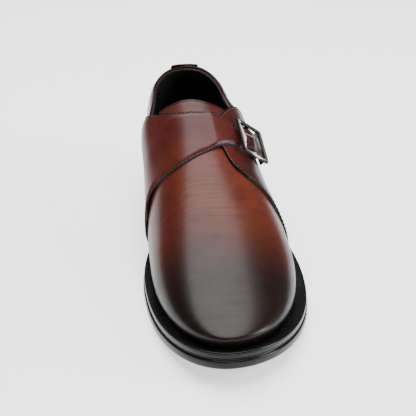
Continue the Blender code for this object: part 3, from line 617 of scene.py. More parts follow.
class Mesher:
    """Collects grids of points into one mesh, with a number stored on every point."""

    def __init__(self) -> None:
        """Starts with nothing collected."""
        self.points: list[Array] = []
        self.quads: list[Array] = []
        self.edge: list[Array] = []
        self.count = 0

    def grid(self, points: Array, edge: Array | float = 1.0,
             wrap: tuple[bool, bool] = (False, False)) -> None:
        """Adds a grid of points and the quads between them.

        Args:
            points: Rows by columns by X, Y and Z.
            edge: Distance of each point from the piece's cut edge.
            wrap: Whether the rows, and the columns, close on themselves.
        """
        rows, columns = points.shape[:2]
        i = np.arange(rows if wrap[0] else rows - 1)
        j = np.arange(columns if wrap[1] else columns - 1)
        i, j = np.meshgrid(i, j, indexing="ij")
        k, m = (i + 1) % rows, (j + 1) % columns
        quads = np.stack((i * columns + j, k * columns + j, k * columns + m, i * columns + m), axis=-1)
        self.quads.append(quads.reshape(-1, 4) + self.count)
        self.points.append(points.reshape(-1, 3))
        self.edge.append(np.broadcast_to(edge, points.shape[:2]).reshape(-1))
        self.count += rows * columns

    def shell(self, outside: Array, inside: Array, edge: Array | float = 1.0) -> None:
        """Adds two grids of one shape as a closed shell, joined all round their borders."""
        self.grid(outside, edge)
        self.grid(inside[:, ::-1], np.broadcast_to(edge, inside.shape[:2])[:, ::-1])
        for out, back in (
            (outside[0], inside[0]), (outside[-1], inside[-1]),
            (outside[:, 0], inside[:, 0]), (outside[:, -1], inside[:, -1]),
        ):
            self.grid(np.stack((out, back)), 0.0)

    def build(self, name: str, finish: bpy.types.Material, angle: float = 50.0) -> bpy.types.Object:
        """Welds the grids and makes the object.

        Args:
            name: The piece's name.
            finish: Its material.
            angle: Edges sharper than this many degrees stay sharp.

        Returns:
            The piece, riding on the body.
        """
        points = np.concatenate(self.points)
        quads = np.concatenate(self.quads)
        mesh = bpy.data.meshes.new(name)
        mesh.vertices.add(len(points))
        mesh.vertices.foreach_set("co", points.astype(np.float32).ravel())
        mesh.loops.add(quads.size)
        mesh.loops.foreach_set("vertex_index", quads.astype(np.int32).ravel())
        mesh.polygons.add(len(quads))
        mesh.polygons.foreach_set("loop_start", np.arange(0, quads.size, 4, dtype=np.int32))
        mesh.update(calc_edges=True)
        layer = mesh.attributes.new("edge", "FLOAT", "POINT")
        layer.data.foreach_set("value", np.concatenate(self.edge).astype(np.float32))
        bm = bmesh.new()
        bm.from_mesh(mesh)
        bmesh.ops.remove_doubles(bm, verts=bm.verts, dist=2e-6)
        bmesh.ops.dissolve_degenerate(bm, edges=bm.edges, dist=1e-6)
        bmesh.ops.recalc_face_normals(bm, faces=bm.faces)
        bm.to_mesh(mesh)
        bm.free()
        mesh.shade_smooth()
        mesh.set_sharp_from_angle(angle=math.radians(angle))
        mesh.materials.append(finish)
        made = add_object(name, mesh)
        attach(made, "root")
        return made


def run_lengths(points: Array, axis: int) -> Array:
    """Distance walked along one direction of a grid, from its first point."""
    steps = np.linalg.norm(np.diff(points, axis=axis), axis=-1)
    start = np.zeros_like(np.take(steps, [0], axis=axis))
    return np.concatenate((start, np.cumsum(steps, axis=axis)), axis=axis)


def grid_normals(points: Array) -> Array:
    """Unit normals of a grid: the cross product of its two directions."""
    normal = np.cross(np.gradient(points, axis=0), np.gradient(points, axis=1))
    return normal / np.maximum(np.linalg.norm(normal, axis=-1, keepdims=True), 1e-12)


@dataclass
class Stitching:
    """Rows of raised stitches that lie in a groove of the leather."""

    length: float = 2.3 * MM
    pitch: float = 3.0 * MM
    radius: float = 0.30 * MM
    sides: int = 6
    stations: int = 5

    def row(self, mesher: Mesher, path: Array, normal: Array) -> None:
        """Adds one row: each stitch is a tube whose radius swells from nothing and back.

        Args:
            mesher: What collects the row.
            path: Points of the seam's line.
            normal: The leather's normal at each of them.
        """
        walked = run_lengths(path[:, None], 0)[:, 0]
        count = int((walked[-1] - self.length) / self.pitch)
        if count < 1:
            return
        start = (np.arange(count) + 0.2) * self.pitch
        t = np.linspace(0.0, 1.0, self.stations)
        at = start[:, None] + t[None, :] * self.length
        centre = np.stack([np.interp(at, walked, path[:, i]) for i in range(3)], axis=-1)
        up = np.stack([np.interp(at, walked, normal[:, i]) for i in range(3)], axis=-1)
        up /= np.linalg.norm(up, axis=-1, keepdims=True)
        run = np.gradient(centre, axis=1)
        side = np.cross(run, up)
        side /= np.linalg.norm(side, axis=-1, keepdims=True)
        swell = np.sqrt(np.clip(1 - np.abs(2 * t - 1) ** 3, 0.0, 1.0)) * self.radius
        centre = centre + up * (swell * 0.55)[None, :, None]
        turn = full_turn(self.sides)
        ring = side[:, :, None] * np.cos(turn)[:, None] + up[:, :, None] * np.sin(turn)[:, None]
        points = centre[:, :, None] + ring * swell[None, :, None, None]
        for stitch in points:
            mesher.grid(stitch, wrap=(False, True))


@dataclass(frozen=True)
class Crease:
    """A soft trough across the vamp with a low ridge on either side of it."""

    along: float
    inner: float
    outer: float
    depth: float
    width: float
    bow: float = 0.0

    def lift(self, along: Array, across: Array, length: float) -> Array:
        """How far the crease raises each point.

        The section is a bell downwards and half a bell upwards at either side. It fades
        smoothly at both ends, and bows along the shoe by a parabola.

        Args:
            along: Stations along the last.
            across: Stations across it.
            length: Length of one unit along.

        Returns:
            The lift in metres, below 0 in the trough.
        """
        middle = (self.inner + self.outer) / 2
        half = (self.outer - self.inner) / 2
        reach = (across - middle) / half
        x = (along - self.along - self.bow * np.square(reach)) * length / self.width
        fade = smooth_step((1 - np.abs(reach)) / 0.5)
        section = -bell(x) + 0.45 * bell(x - 1.7) + 0.45 * bell(x + 1.7)
        return self.depth * fade * section


@dataclass
class Overlay:
    """A piece of leather laid on the last between a low and a high edge."""

    last: Last
    thickness: float
    round_radius: float = 0.55 * MM
    groove_depth: float = 0.16 * MM
    seam_inset: float = 2.2 * MM
    pad: float = 0.0
    pad_reach: float = 5.5 * MM
    edge_steps: tuple[float, ...] = (0.0, 0.08, 0.2, 0.35, 0.55, 0.9, 1.3, 1.6, 1.8, 2.0, 2.2, 2.7, 3.4)
    middle_rows: int = 24

    def rows(self, low: tuple[Array, Array], high: tuple[Array, Array]) -> tuple[Array, Array]:
        """Stations between two edges, close together beside each edge.

        Args:
            low: Along and across of the low edge.
            high: Along and across of the high edge.

        Returns:
            Along and across, one row of the arrays for each station of the edges.
        """
        share = np.linspace(0, 1, 17)
        along = low[0][:, None] * (1 - share) + high[0][:, None] * share
        across = low[1][:, None] * (1 - share) + high[1][:, None] * share
        points = self.last.point(along, across)
        walked = run_lengths(points, 1)
        width = walked[:, -1]
        steps = np.array(self.edge_steps) * MM
        steps = steps[None, :] * np.minimum(1.0, width / (2.6 * steps[-1]))[:, None]
        middle = np.linspace(0, 1, self.middle_rows + 2)[1:-1]
        span = (width - 2 * steps[:, -1])[:, None]
        distance = np.concatenate(
            (steps, steps[:, -1:] + span * middle, width[:, None] - steps[:, ::-1]), axis=1)
        part = distance / width[:, None]
        return (
            low[0][:, None] * (1 - part) + high[0][:, None] * part,
            low[1][:, None] * (1 - part) + high[1][:, None] * part,
        )

    def faces(self, along: Array, across: Array, under: Array, free: str,
              lift: Array | float = 0.0) -> tuple[Array, Array, Array]:
        """The outer and the inner face, with the cut edges rounded over.

        The leather's height over its own flesh side is a quarter circle within the round
        radius of a free edge, and a bell-shaped groove follows each seam. A padded piece
        falls smoothly from its middle to the seam.

        Args:
            along: Stations along the last.
            across: Stations across it.
            under: Distance of the inner face outside the last.
            free: Which edges are cut edges that show: low, high, start, end.
            lift: What is added to the outer face.

        Returns:
            The outer points, the inner points and the distance to the nearest free edge.
        """
        base = self.last.point(along, across, under)
        over_rows, over_columns = run_lengths(base, 1), run_lengths(base, 0)
        far = np.full(along.shape, 1.0)
        reach = {
            "low": over_rows, "high": over_rows[:, -1:] - over_rows,
            "start": over_columns, "end": over_columns[-1:] - over_columns,
        }
        edge = np.minimum.reduce([far] + [reach[name] for name in free.split()])
        round_over = np.clip(1 - edge / self.round_radius, 0.0, 1.0)
        height = self.thickness * np.sqrt(np.clip(1 - round_over**2, 0.0, 1.0))
        groove = self.groove_depth * bell((edge - self.seam_inset) / (0.42 * MM))
        fall = self.pad * smooth_step((self.pad_reach - edge) / (self.pad_reach - self.seam_inset))
        outside = self.last.point(along, across, under + height - groove - fall + lift)
        return outside, base, edge


@dataclass
class Buckle:
    """The buckle's place and sizes. Its own X runs to the toe, Y down the side, Z outwards."""

    last: Last
    long: float = 30.2 * MM
    short: float = 27.6 * MM
    thick: float = 2.1 * MM
    near_bar: float = 4.6 * MM
    far_bar: float = 2.6 * MM
    side_bar: float = 2.6 * MM
    corner: float = 2.0 * MM
    pin_radius: float = 0.8 * MM
    prong_radius: float = 0.6 * MM
    chape: float = 0.7 * MM
    chape_width: float = 13.6 * MM
    chape_tail: float = 10.0 * MM
    kite: float = 2.2 * MM
    tab_top: float = 1.78 * MM
    along: float = 0.447
    across: float = 1.487
    spin: float = math.radians(-8)
    tilt: float = math.radians(7.5)

    def __post_init__(self) -> None:
        """Works out the buckle's frame from the last under it."""
        step = 0.02
        ends = self.last.point(self.along, np.array((self.across - step, self.across + step)))
        self.arc = float(np.linalg.norm(ends[1] - ends[0])) / (2 * step)
        reach = self.long / 2 / self.last.length
        drop = self.short / 2 / self.arc
        at = self.last.point(self.along, self.across)[0]
        fore = self.last.point(np.array((self.along + reach, self.along - reach)), self.across)
        down = self.last.point(self.along, np.array((self.across + drop, self.across - drop)))
        x = Vector(fore[0] - fore[1]).normalized()
        down = Vector(down[0] - down[1])
        out = x.cross(down).normalized()
        out = -out if out.x < 0 else out
        y = out.cross(x)
        y = -y if y.dot(down) < 0 else y
        turn = Matrix((x, y, out)).transposed().to_4x4()
        turn = turn @ Matrix.Rotation(self.spin, 4, "Z") @ Matrix.Rotation(self.tilt, 4, "X")
        self.matrix = np.array(Matrix.Translation(Vector(at)) @ turn)
        self.inverse = np.linalg.inv(self.matrix)

    @property
    def pin_height(self) -> float:
        """Height of the pin's middle over the last."""
        return self.tab_top + 2 * self.last.gap + self.chape + self.pin_radius

    @property
    def frame_height(self) -> float:
        """Height of the frame's underside over the last."""
        return self.pin_height + self.pin_radius + 4 * self.last.gap

    def to_world(self, points: Array) -> Array:
        """Points in the buckle's own frame, turned and moved to their place."""
        return points @ self.matrix[:3, :3].T + self.matrix[:3, 3]

    def to_own(self, points: Array) -> Array:
        """Points of the shoe, seen in the buckle's own frame."""
        return points @ self.inverse[:3, :3].T + self.inverse[:3, 3]

    def stations(self, x: Array, y: Array, out: Array) -> tuple[Array, Array]:
        """Finds the stations of the last whose point has a given X and Y in the own frame.

        Six Newton steps take away the miss, divided by the last's length along and by its
        arc across.

        Args:
            x: X in the buckle's own frame.
            y: Y there.
            out: Distance outside the last.

        Returns:
            Along and across.
        """
        x, y, out = np.broadcast_arrays(*np.atleast_1d(x, y, out))
        along = self.along + x / self.last.length
        across = self.across + y / self.arc
        for _ in range(6):
            own = self.to_own(self.last.point(along, across, out))
            along = along + (x - own[..., 0]) / self.last.length
            across = across + (y - own[..., 1]) / self.arc
        return along, across

    def on_last(self, x: Array, y: Array, out: Array) -> Array:
        """Points at X and Y of the own frame and a distance outside the last."""
        return self.last.point(*self.stations(x, y, out), out)

    def loop(self, half_x: float, low: float, high: float, corner: float) -> Array:
        """Plan of a rounded rectangle: four quarter circles with straight runs between."""
        turn = np.linspace(0.0, math.pi / 2, 9)
        run = np.linspace(0.0, 1.0, 25)[1:-1, None]
        centres = np.array((
            (half_x - corner, high - corner), (corner - half_x, high - corner),
            (corner - half_x, low + corner), (half_x - corner, low + corner)))
        arcs = []
        for k, centre in enumerate(centres):
            angle = turn + k * math.pi / 2
            arcs.append(centre + corner * np.stack((np.cos(angle), np.sin(angle)), 1))
        parts = []
        for arc, following in zip(arcs, arcs[1:] + arcs[:1]):
            parts += [arc, arc[-1] * (1 - run) + following[0] * run]
        return np.concatenate(parts)

    def build_frame(self, metal: bpy.types.Material) -> bpy.types.Object:
        """The frame, its two lugs and the pin.

        Three bars are half round. The near one carries a flat kite-shaped facet: its inner
        edge bulges to the strap by a triangle of the distance from its middle.
        """
        half_x, half_y = self.long / 2, self.short / 2
        outer = self.loop(half_x, -half_y, half_y, self.corner)
        inner_x = half_x - self.side_bar
        inner = self.loop(inner_x, -half_y + self.near_bar, half_y - self.far_bar, self.corner * 0.5)
        near = smooth_step((-half_y + self.near_bar + 1.2 * MM - inner[:, 1]) / (1.2 * MM))
        near = near * smooth_step((inner_x - np.abs(inner[:, 0])) / (0.8 * MM))
        kite = np.clip(np.abs(inner[:, 0]) / inner_x, 0.0, 1.0)
        inner[:, 1] += near * (self.kite - kite * (self.kite + 0.42 * self.near_bar))
        turn = np.linspace(0.0, math.pi, 17)
        share_round = np.concatenate(((0.0,), 0.5 - 0.5 * np.cos(turn), (1.0,)))
        rise_round = np.concatenate(((0.0,), 0.30 + 0.70 * np.sin(turn), (0.0,)))
        facet_share = (0.0, 0.0, 0.0, 0.01, 0.03, 0.06, 0.10, 0.14, 0.19, 0.30, 0.45, 0.60, 0.75, 0.88,
                       0.95, 0.98, 1.0, 1.0, 1.0)
        facet_rise = (0.0, 0.25, 0.5, 0.72, 0.84, 0.92, 0.97, 1.0, 0.99, 0.94, 0.87, 0.80, 0.73, 0.67,
                      0.60, 0.52, 0.40, 0.20, 0.0)
        share = share_round * (1 - near[:, None]) + np.array(facet_share) * near[:, None]
        rise = rise_round * (1 - near[:, None]) + np.array(facet_rise) * near[:, None]
        plan = outer[:, None] * (1 - share[..., None]) + inner[:, None] * share[..., None]
        height = self.frame_height + self.thick * rise
        toe_side = smooth_step((outer[:, 0] - inner_x * 0.8) / (2.0 * MM))
        middle = bell(outer[:, 1] / (9.5 * MM)) * toe_side
        far = smooth_step((outer[:, 1] - half_y + self.far_bar) / (0.5 * MM))
        # Painted highlight: the crests' polish is raised in the middle of the toe-side bar and along
        # the far bar.
        crest_polish_and_highlight = 0.42 + 0.58 * np.maximum(middle, 0.55 * far)
        ridge = bell((share - 0.45) / (0.12 + 0.34 * middle[:, None])) * crest_polish_and_highlight[:, None]
        facet = np.where((share > 0.16) & (share < 0.96), 1.0, 0.0)
        polish_and_highlight = ridge * (1 - near[:, None]) + facet * near[:, None]
        mesher = Mesher()
        points = np.concatenate((plan, height[..., None]), axis=-1)
        mesher.grid(self.to_world(points), polish_and_highlight, wrap=(True, True))
        self.tube(mesher, (-half_x + 0.7 * MM, half_x - 0.7 * MM))
        for side in (-1.0, 1.0):
            self.lug(mesher, side * (half_x - self.side_bar / 2))
        made = mesher.build("buckle_frame_piece", metal, 38.0)
        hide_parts("buckle_frame")
        return made

    def tube(self, mesher: Mesher, ends: tuple[float, float]) -> None:
        """Adds the pin, a closed cylinder along X: cosine and sine of the turn."""
        x = np.array((ends[0], ends[0], *np.linspace(*ends, 8), ends[1], ends[1]))
        radius = np.array((0.0, 0.98, *np.ones(8), 0.98, 0.0)) * self.pin_radius
        turn = full_turn(24)
        y = radius[:, None] * np.cos(turn)
        z = self.pin_height + radius[:, None] * np.sin(turn)
        points = np.stack((np.broadcast_to(x[:, None], y.shape), y, z), axis=-1)
        mesher.grid(self.to_world(points), 0.35, wrap=(False, True))

    def lug(self, mesher: Mesher, middle: float) -> None:
        """Adds one lug between the pin and the frame, an upright block with round corners."""
        foot = self.pin_height - self.pin_radius - self.last.gap
        head = self.frame_height + self.thick * 0.6
        z = np.array((foot, foot, foot + 0.2 * MM, head - 0.2 * MM, head, head))
        size = np.array((0.0, 0.8, 1.0, 1.0, 0.8, 0.0))
        turn = full_turn(32)
        cos, sin = np.cos(turn), np.sin(turn)
        x = middle + size[:, None] * 0.95 * MM * np.sign(cos) * np.abs(cos) ** 0.4
        y = size[:, None] * 1.65 * MM * np.sign(sin) * np.abs(sin) ** 0.4
        points = np.stack((x, y, np.broadcast_to(z[:, None], x.shape)), axis=-1)
        mesher.grid(self.to_world(points), 0.2, wrap=(False, True))

    def build_prong(self, metal: bpy.types.Material) -> bpy.types.Object:
        """The prong: a ring round the pin, and a tapering wire that rests on the near bar."""
        wire = self.prong_radius
        top = self.frame_height + self.thick + self.last.gap + wire
        walked = (0.0, 0.16, 0.30, 0.42, 0.70, 1.0)
        end_y = -self.short / 2 + self.near_bar * 0.35
        y_line = Curve(walked, (0.2 * MM, -0.6 * MM, -1.1 * MM, -2.6 * MM, -6.0 * MM, end_y))
        z_line = Curve(walked, (
            self.pin_height + self.pin_radius + 0.3 * MM + wire, self.pin_height + 2.9 * MM,
            top + 0.2 * MM, top + 0.8 * MM, top + 0.5 * MM, top))
        t = np.linspace(0.0, 1.0, 60)
        centre = np.stack((np.zeros_like(t), y_line(t), z_line(t)), axis=-1)
        end = np.sqrt(np.clip(1 - np.clip((t - 0.965) / 0.035, 0, 1) ** 2, 0, 1))
        radius = wire * (1.0 - 0.18 * t) * end * np.sqrt(np.clip(t / 0.01, 0, 1))
        mesher = Mesher()
        self.wire(mesher, centre, radius, False)
        turn = full_turn(32)
        reach = self.pin_radius + wire + 0.05 * MM
        ring = np.stack((
            np.zeros_like(turn), reach * np.cos(turn), self.pin_height + reach * np.sin(turn)), axis=-1)
        self.wire(mesher, ring, np.full_like(turn, wire), True)
        made = mesher.build("buckle_prong_piece", metal)
        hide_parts("buckle_prong")
        return made

    def wire(self, mesher: Mesher, centre: Array, radius: Array, closed: bool) -> None:
        """Adds a round wire in the plane of Y and Z, square to its path.

        Args:
            mesher: What collects it.
            centre: Its path in the own frame.
            radius: Its radius at each point of the path.
            closed: Whether the path closes on itself.
        """
        if closed:
            run = np.roll(centre, -1, axis=0) - np.roll(centre, 1, axis=0)
        else:
            run = np.gradient(centre, axis=0)
        run = run / np.linalg.norm(run, axis=1, keepdims=True)
        side = np.array((1.0, 0.0, 0.0))
        up = np.cross(run, side)
        turn = full_turn(14)[None, :, None]
        ring = np.cos(turn) * side + np.sin(turn) * up[:, None]
        points = centre[:, None] + radius[:, None, None] * ring
        mesher.grid(self.to_world(points), 0.42, wrap=(closed, True))

    def build_chape(self, finish: bpy.types.Material) -> bpy.types.Object:
        """The chape: leather folded round the pin, parted in the middle for the prong."""
        half = self.chape / 2
        around = self.pin_radius + self.last.gap + half
        rest = self.tab_top + self.last.gap + half
        turn = np.linspace(-math.pi / 2, -3 * math.pi / 2, 25)
        tail = np.linspace(self.chape_tail, 2.5 * MM, 16)
        down = np.concatenate((tail, around * np.cos(turn), (1.4 * MM, 2.9 * MM, 4.2 * MM)))
        out = np.concatenate((
            np.full(16, rest), np.maximum(self.pin_height + around * np.sin(turn), rest),
            (self.pin_height + around - 0.4 * MM, rest + 1.7 * MM, rest + 1.0 * MM)))
        run = np.stack((np.gradient(down), np.gradient(out)), axis=1)
        normal = np.stack((-run[:, 1], run[:, 0]), axis=1)
        normal /= np.linalg.norm(normal, axis=1, keepdims=True)
        mesher = Mesher()
        inner, outer = 1.7 * MM, self.chape_width / 2
        for low, high in ((-outer, -inner), (inner, outer)):
            x = low + (high - low) * (0.5 - 0.5 * np.cos(np.linspace(0, math.pi, 14)))
            border = np.minimum(x - low, high - x)
            full = half * np.sqrt(1 - np.clip(1 - border / (0.4 * MM), 0, 1) ** 2)
            faces = []
            for sign in (1.0, -1.0):
                y = down[:, None] + sign * normal[:, :1] * full
                z = out[:, None] + sign * normal[:, 1:] * full
                faces.append(self.on_last(np.broadcast_to(x, y.shape), y, z))
            mesher.shell(faces[0], faces[1], np.broadcast_to(border, faces[0].shape[:2]))
        made = mesher.build("buckle_chape_piece", finish)
        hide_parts("buckle_chape")
        return made


@dataclass
class Upper:
    """The leather pieces over the last, and their lining."""

    last: Last
    buckle: Buckle
    wall: float = 1.8 * MM
    quarter_leather: float = 1.3 * MM
    tongue_leather: float = 1.6 * MM
    strip_leather: float = 0.9 * MM
    quarter_gap: float = 0.48 * MM
    lining_below: float = 1.2 * MM
    vamp_leather: float = 0.9 * MM
    lining_outside: float = 0.95 * MM
    heel_pace_share: float = 0.5
    side_pace_share: float = 0.31
    seam_gap: float = 0.0006
    bridge_climb: float = 3 * MM
    bar_clearance: float = 1 * MM
    tip_droop: float = 8 * MM
    hump_reach: float = 5.1 * MM
    chape_lead: float = 1.4 * MM
    chape_run: float = 3.6 * MM
    tab_lead: float = 0.13
    tab_run: float = 0.10
    inner_side: float = -30 * MM
    corner_round: float = 0.06
    tip_start: float = 0.93
    tip_run: float = 0.07
    tip_cut: float = 0.06
    tip_power: float = 2.5
    stand_run: float = 0.018
    stand_fades: tuple[float, float] = (0.17, 0.14)
    tab_curve: float = 1.6
    strap_tip: float = 1.74
    strap_stand: float = 1.7 * MM
    tab_back: float = 0.440
    strap_back: Curve = Curve(
        (0.40, 0.51, 0.71, 0.85, 1.00, 1.11, 1.22, 1.34, 1.41, 1.48, 1.56, 1.63, 1.71),
        (0.324, 0.358, 0.396, 0.413, 0.419, 0.421, 0.4235, 0.4290, 0.4260, 0.4198, 0.4086,
         0.3955, 0.3815))
    strap_front: Curve = Curve(
        (0.00, 0.15, 0.30, 0.42, 0.60, 0.72, 0.85, 1.00, 1.09, 1.20, 1.32, 1.39, 1.46,
         1.52, 1.60, 1.71),
        (0.572, 0.553, 0.533, 0.529, 0.540, 0.545, 0.541, 0.529, 0.517, 0.502, 0.492, 0.485, 0.480,
         0.470, 0.459, 0.445))
    tab_front: Curve = Curve(
        (1.17, 1.21, 1.30, 1.42, 1.55, 1.68, 1.85, 2.00),
        (0.492, 0.535, 0.564, 0.574, 0.583, 0.603, 0.632, 0.655))
    tongue_top: Curve = Curve(
        (0.56, 0.72, 0.85, 1.00, 1.12, 1.22, 1.34),
        (0.362, 0.3725, 0.3795, 0.385, 0.388, 0.388, 0.389))
    creases: tuple[Crease, ...] = (
        Crease(0.571, 0.70, 1.22, 0.025 * MM, 0.9 * MM, 0.006),
        Crease(0.585, 0.52, 1.34, 0.035 * MM, 1.0 * MM, 0.008),
        Crease(0.597, 0.62, 1.18, 0.025 * MM, 0.8 * MM, 0.006),
        Crease(0.609, 0.42, 1.48, 0.050 * MM, 1.1 * MM, 0.010),
        Crease(0.621, 0.55, 1.30, 0.035 * MM, 0.9 * MM, 0.008),
        Crease(0.633, 0.38, 1.52, 0.060 * MM, 1.2 * MM, 0.011),
        Crease(0.645, 0.60, 1.40, 0.035 * MM, 0.9 * MM, 0.009),
        Crease(0.656, 0.34, 1.56, 0.060 * MM, 1.2 * MM, 0.011),
        Crease(0.668, 0.50, 1.25, 0.035 * MM, 0.9 * MM, 0.008),
        Crease(0.680, 0.40, 1.45, 0.045 * MM, 1.0 * MM, 0.010),
        Crease(0.694, 0.62, 1.30, 0.025 * MM, 0.8 * MM, 0.007),
        Crease(0.708, 0.55, 1.38, 0.025 * MM, 0.9 * MM, 0.007),
    )
    stitching: Stitching = field(default_factory=Stitching)

    def heel_pace(self, stage: Array, end: float) -> Array:
        """Stations from beside the back seam to end, in even steps round the heel."""
        turn = self.heel_pace_share * self.last.heel_turn
        split = turn / (turn + self.side_pace_share * (end - self.last.heel_turn))
        return np.interp(stage, (0.0, split, 1.0), (self.seam_gap, self.last.heel_turn, end))

    def strap_under(self, along: Array, across: Array) -> Array:
        """How far the strap's flesh side lies outside the last.

        It steps up onto the tab, and lies in a bell over the buckle's pin. Then it runs
        straight to the far bar, close under it, and droops at the tip.

        Args:
            along: Stations along the last.
            across: Stations across it.

        Returns:
            The distances in metres.
        """
        gap, chape = self.last.gap, self.buckle.chape
        tab_top = self.quarter_gap + self.quarter_leather
        pin = self.buckle.pin_height
        own = self.buckle.to_own(self.last.point(along, across, pin))
        down = np.where(across > 1.0, own[..., 1], self.inner_side)
        droop = smooth_step((down - self.buckle.short / 2) / self.tip_droop)
        straight = smooth_step(down / self.bridge_climb) * (1 - droop)
        pin_top = pin + self.buckle.pin_radius + 2 * gap + chape
        far_under = self.buckle.frame_height - 2 * gap - self.quarter_leather
        reach = self.buckle.short / 2 - self.buckle.far_bar - self.bar_clearance
        line = far_under + (pin_top - far_under) * np.clip(1 - down / reach, 0.0, 1.0)
        bridge = line + pin - own[..., 2]
        on_tab = smooth_step((across - self.tab_front.at[0] + self.tab_lead) / self.tab_run)
        on_chape = (chape + 2 * gap) * smooth_step((down + self.chape_lead) / self.chape_run)
        rise = pin + self.buckle.pin_radius + gap + chape - tab_top
        rise = rise * bell(down / self.hump_reach)
        laid = self.quarter_gap + (self.quarter_leather + gap) * on_tab + np.maximum(rise, on_chape)
        return laid + np.maximum(bridge - laid, 0.0) * straight

    def shell(self, outer_off: float, inner_off: float, mesher: Mesher, crease: bool) -> None:
        """Adds one layer of the upper's wall, open at the collar, the throat and below.

        The ribs run round the shoe. Each goes from the feather edge up to the collar's or
        the throat's edge, or to the ridge where the vamp is closed.

        Args:
            outer_off: Distance of its outer face outside the last.
            inner_off: Distance of its inner face.
            mesher: What collects it.
            crease: Whether the vamp's creases press into it.
        """
        last = self.last
        point = last.throat.value[-1]
        behind = np.concatenate((
            np.linspace(0, last.heel_turn, 40), np.linspace(last.heel_turn, last.corner, 46)[1:-1]))
        open_part = last.throat(np.linspace(0, 1, 60))
        vamp = np.concatenate((
            np.linspace(point, last.toe_turn, 130)[1:], np.linspace(last.toe_turn, 1.0, 110)[1:]))
        q_rows = np.concatenate((np.linspace(0, 0.16, 14)[:-1], np.linspace(0.16, 1.0, 70)))
        for outer in (False, True):
            for stations, kind in ((behind, "collar"), (open_part, "throat"), (vamp, "vamp")):
                if kind == "collar":
                    stations = np.append(stations, last.corner)
                    top = last.collar(stations, outer, self.lining_below)
                elif kind == "throat":
                    corner = last.collar_corner(outer, self.lining_below)
                    shares = np.linspace(0, 1, 400)
                    closed = np.interp(stations, last.throat(shares), shares)
                    top = corner + (1.0 - corner) * closed
                else:
                    stations = np.append(point, stations)
                    top = np.ones_like(stations)
                top_q = 2.0 - top if outer else top
                q = top_q[:, None] * q_rows[None, :]
                across = 2.0 - q if outer else q
                along = np.broadcast_to(stations[:, None], q.shape)
                lift = np.zeros_like(q)
                if crease:
                    lift = sum(c.lift(along, across, last.length) for c in self.creases)
                outside = last.point(along, across, outer_off + lift)
                inside = last.point(along, across, inner_off + lift * 0.6)
                mesher.grid(outside)
                mesher.grid(inside[:, ::-1])
                mesher.grid(np.stack((outside[:, 0], inside[:, 0])))
                if kind != "vamp":
                    mesher.grid(np.stack((outside[:, -1], inside[:, -1])), 0.0)

    def build_vamp(self, finish: bpy.types.Material) -> bpy.types.Object:
        """The vamp's leather, which runs on as the wall under the quarters."""
        mesher = Mesher()
        self.shell(0.0, -self.vamp_leather, mesher, True)
        made = mesher.build("vamp", finish)
        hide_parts("upper")
        return made

    def build_lining(self, finish: bpy.types.Material) -> bpy.types.Object:
        """The black lining inside the wall."""
        mesher = Mesher()
        self.shell(-self.lining_outside, -self.wall, mesher, False)
        made = mesher.build("lining", finish)
        return made

    def build_inner_quarter(self, finish: bpy.types.Material, thread: bpy.types.Material) -> list:
        """The inner quarter and the strap that it carries over the instep."""
        overlay = Overlay(self.last, self.quarter_leather, seam_inset=1.8 * MM, pad=0.68 * MM)
        feather, corner_stage = 0.44, 0.30
        stage = np.concatenate((
            np.linspace(0, corner_stage, 110), np.linspace(corner_stage, feather, 50)[1:],
            np.linspace(feather, 0.80, 130)[1:], np.linspace(0.80, 0.985, 110)[1:],
            np.linspace(0.985, 1.0, 16)[1:],
        ))
        low_across = self.strap_tip * np.clip((stage - feather) / (1 - feather), 0, 1)
        low_along = np.where(
            stage < feather, self.heel_pace(stage / feather, self.strap_front.value[0]),
            self.strap_front(low_across))
        corner = self.last.collar_corner(False)
        past = np.clip((stage - corner_stage) / (1 - corner_stage), 0, 1)
        high_across = corner + (self.strap_tip - corner) * past
        back = self.strap_back(high_across)
        back = self.last.corner + (back - self.last.corner) * smooth_step(past / self.corner_round)
        collar_along = self.heel_pace(stage / corner_stage, self.last.corner)
        behind = stage < corner_stage
        high_along = np.where(behind, collar_along, back)
        high_across = np.where(behind, self.last.collar(collar_along, False), high_across)
        along, across = overlay.rows((low_along, low_across), (high_along, high_across))
        part = np.abs(np.linspace(-1, 1, along.shape[1]))
        to_tip = smooth_step((stage - self.tip_start) / self.tip_run)
        across = across - self.tip_cut * np.outer(to_tip, part**self.tip_power)
        fade = np.where(across < corner, *self.stand_fades)
        stand = self.strap_stand * bell((across - corner) / fade)
        stand = stand * smooth_step((stage - corner_stage) / self.stand_run + 1)[:, None]
        outside, inside, edge = overlay.faces(
            along, across, self.strap_under(along, across) + stand, "low high end",
            self.soft_waves(along, across))
        feather_row = np.minimum(1.0, stage / feather)[:, None] < 1.0
        edge = np.where(feather_row & (across < 0.3), 1.0, edge)
        mesher = Mesher()
        mesher.shell(outside, inside, edge)
        quarter = mesher.build("inner_quarter_and_strap", finish)
        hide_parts("quarter_inner_strap")
        return [quarter, self.stitches("strap_stitching", thread, outside, overlay, feather, stage)]

    def build_hole(self, finish: bpy.types.Material, dark: bpy.types.Material) -> list:
        """The strap's punched hole: a pressed rim round a black dish sunk in its middle, painted shade
        for the hole's depth.

        The rim is a torus, and the middle is a flat dish in it.
        """
        buckle = self.buckle
        turn, tube = full_turn(28), full_turn(10)
        reach, bead, below_pin = 1.25 * MM, 0.22 * MM, 0.5 * MM
        pieces = []
        for name, radius, height, ring, material in (
            ("strap_hole_rim", reach + bead * np.cos(tube), bead * 0.7 * np.sin(tube), True, finish),
            # The middle is a black dish of lining leather: painted shade in place of the hole's depth.
            ("strap_hole_shade_dish", reach * np.array((0.0, 0.5, 1.0, 1.0, 0.5, 0.0)),
             np.array((0.03, 0.03, 0.05, -0.3, -0.3, -0.3)) * MM, False, dark),
        ):
            x = radius[:, None] * np.cos(turn)
            y = below_pin + radius[:, None] * np.sin(turn)
            along, across = buckle.stations(x, y, buckle.pin_height)
            level = self.strap_under(along, across) + self.quarter_leather
            mesher = Mesher()
            points = self.last.point(along, across, level + height[:, None])
            mesher.grid(points, 0.0, wrap=(ring, True))
            made = mesher.build(name, material)
            pieces.append(made)
        return pieces

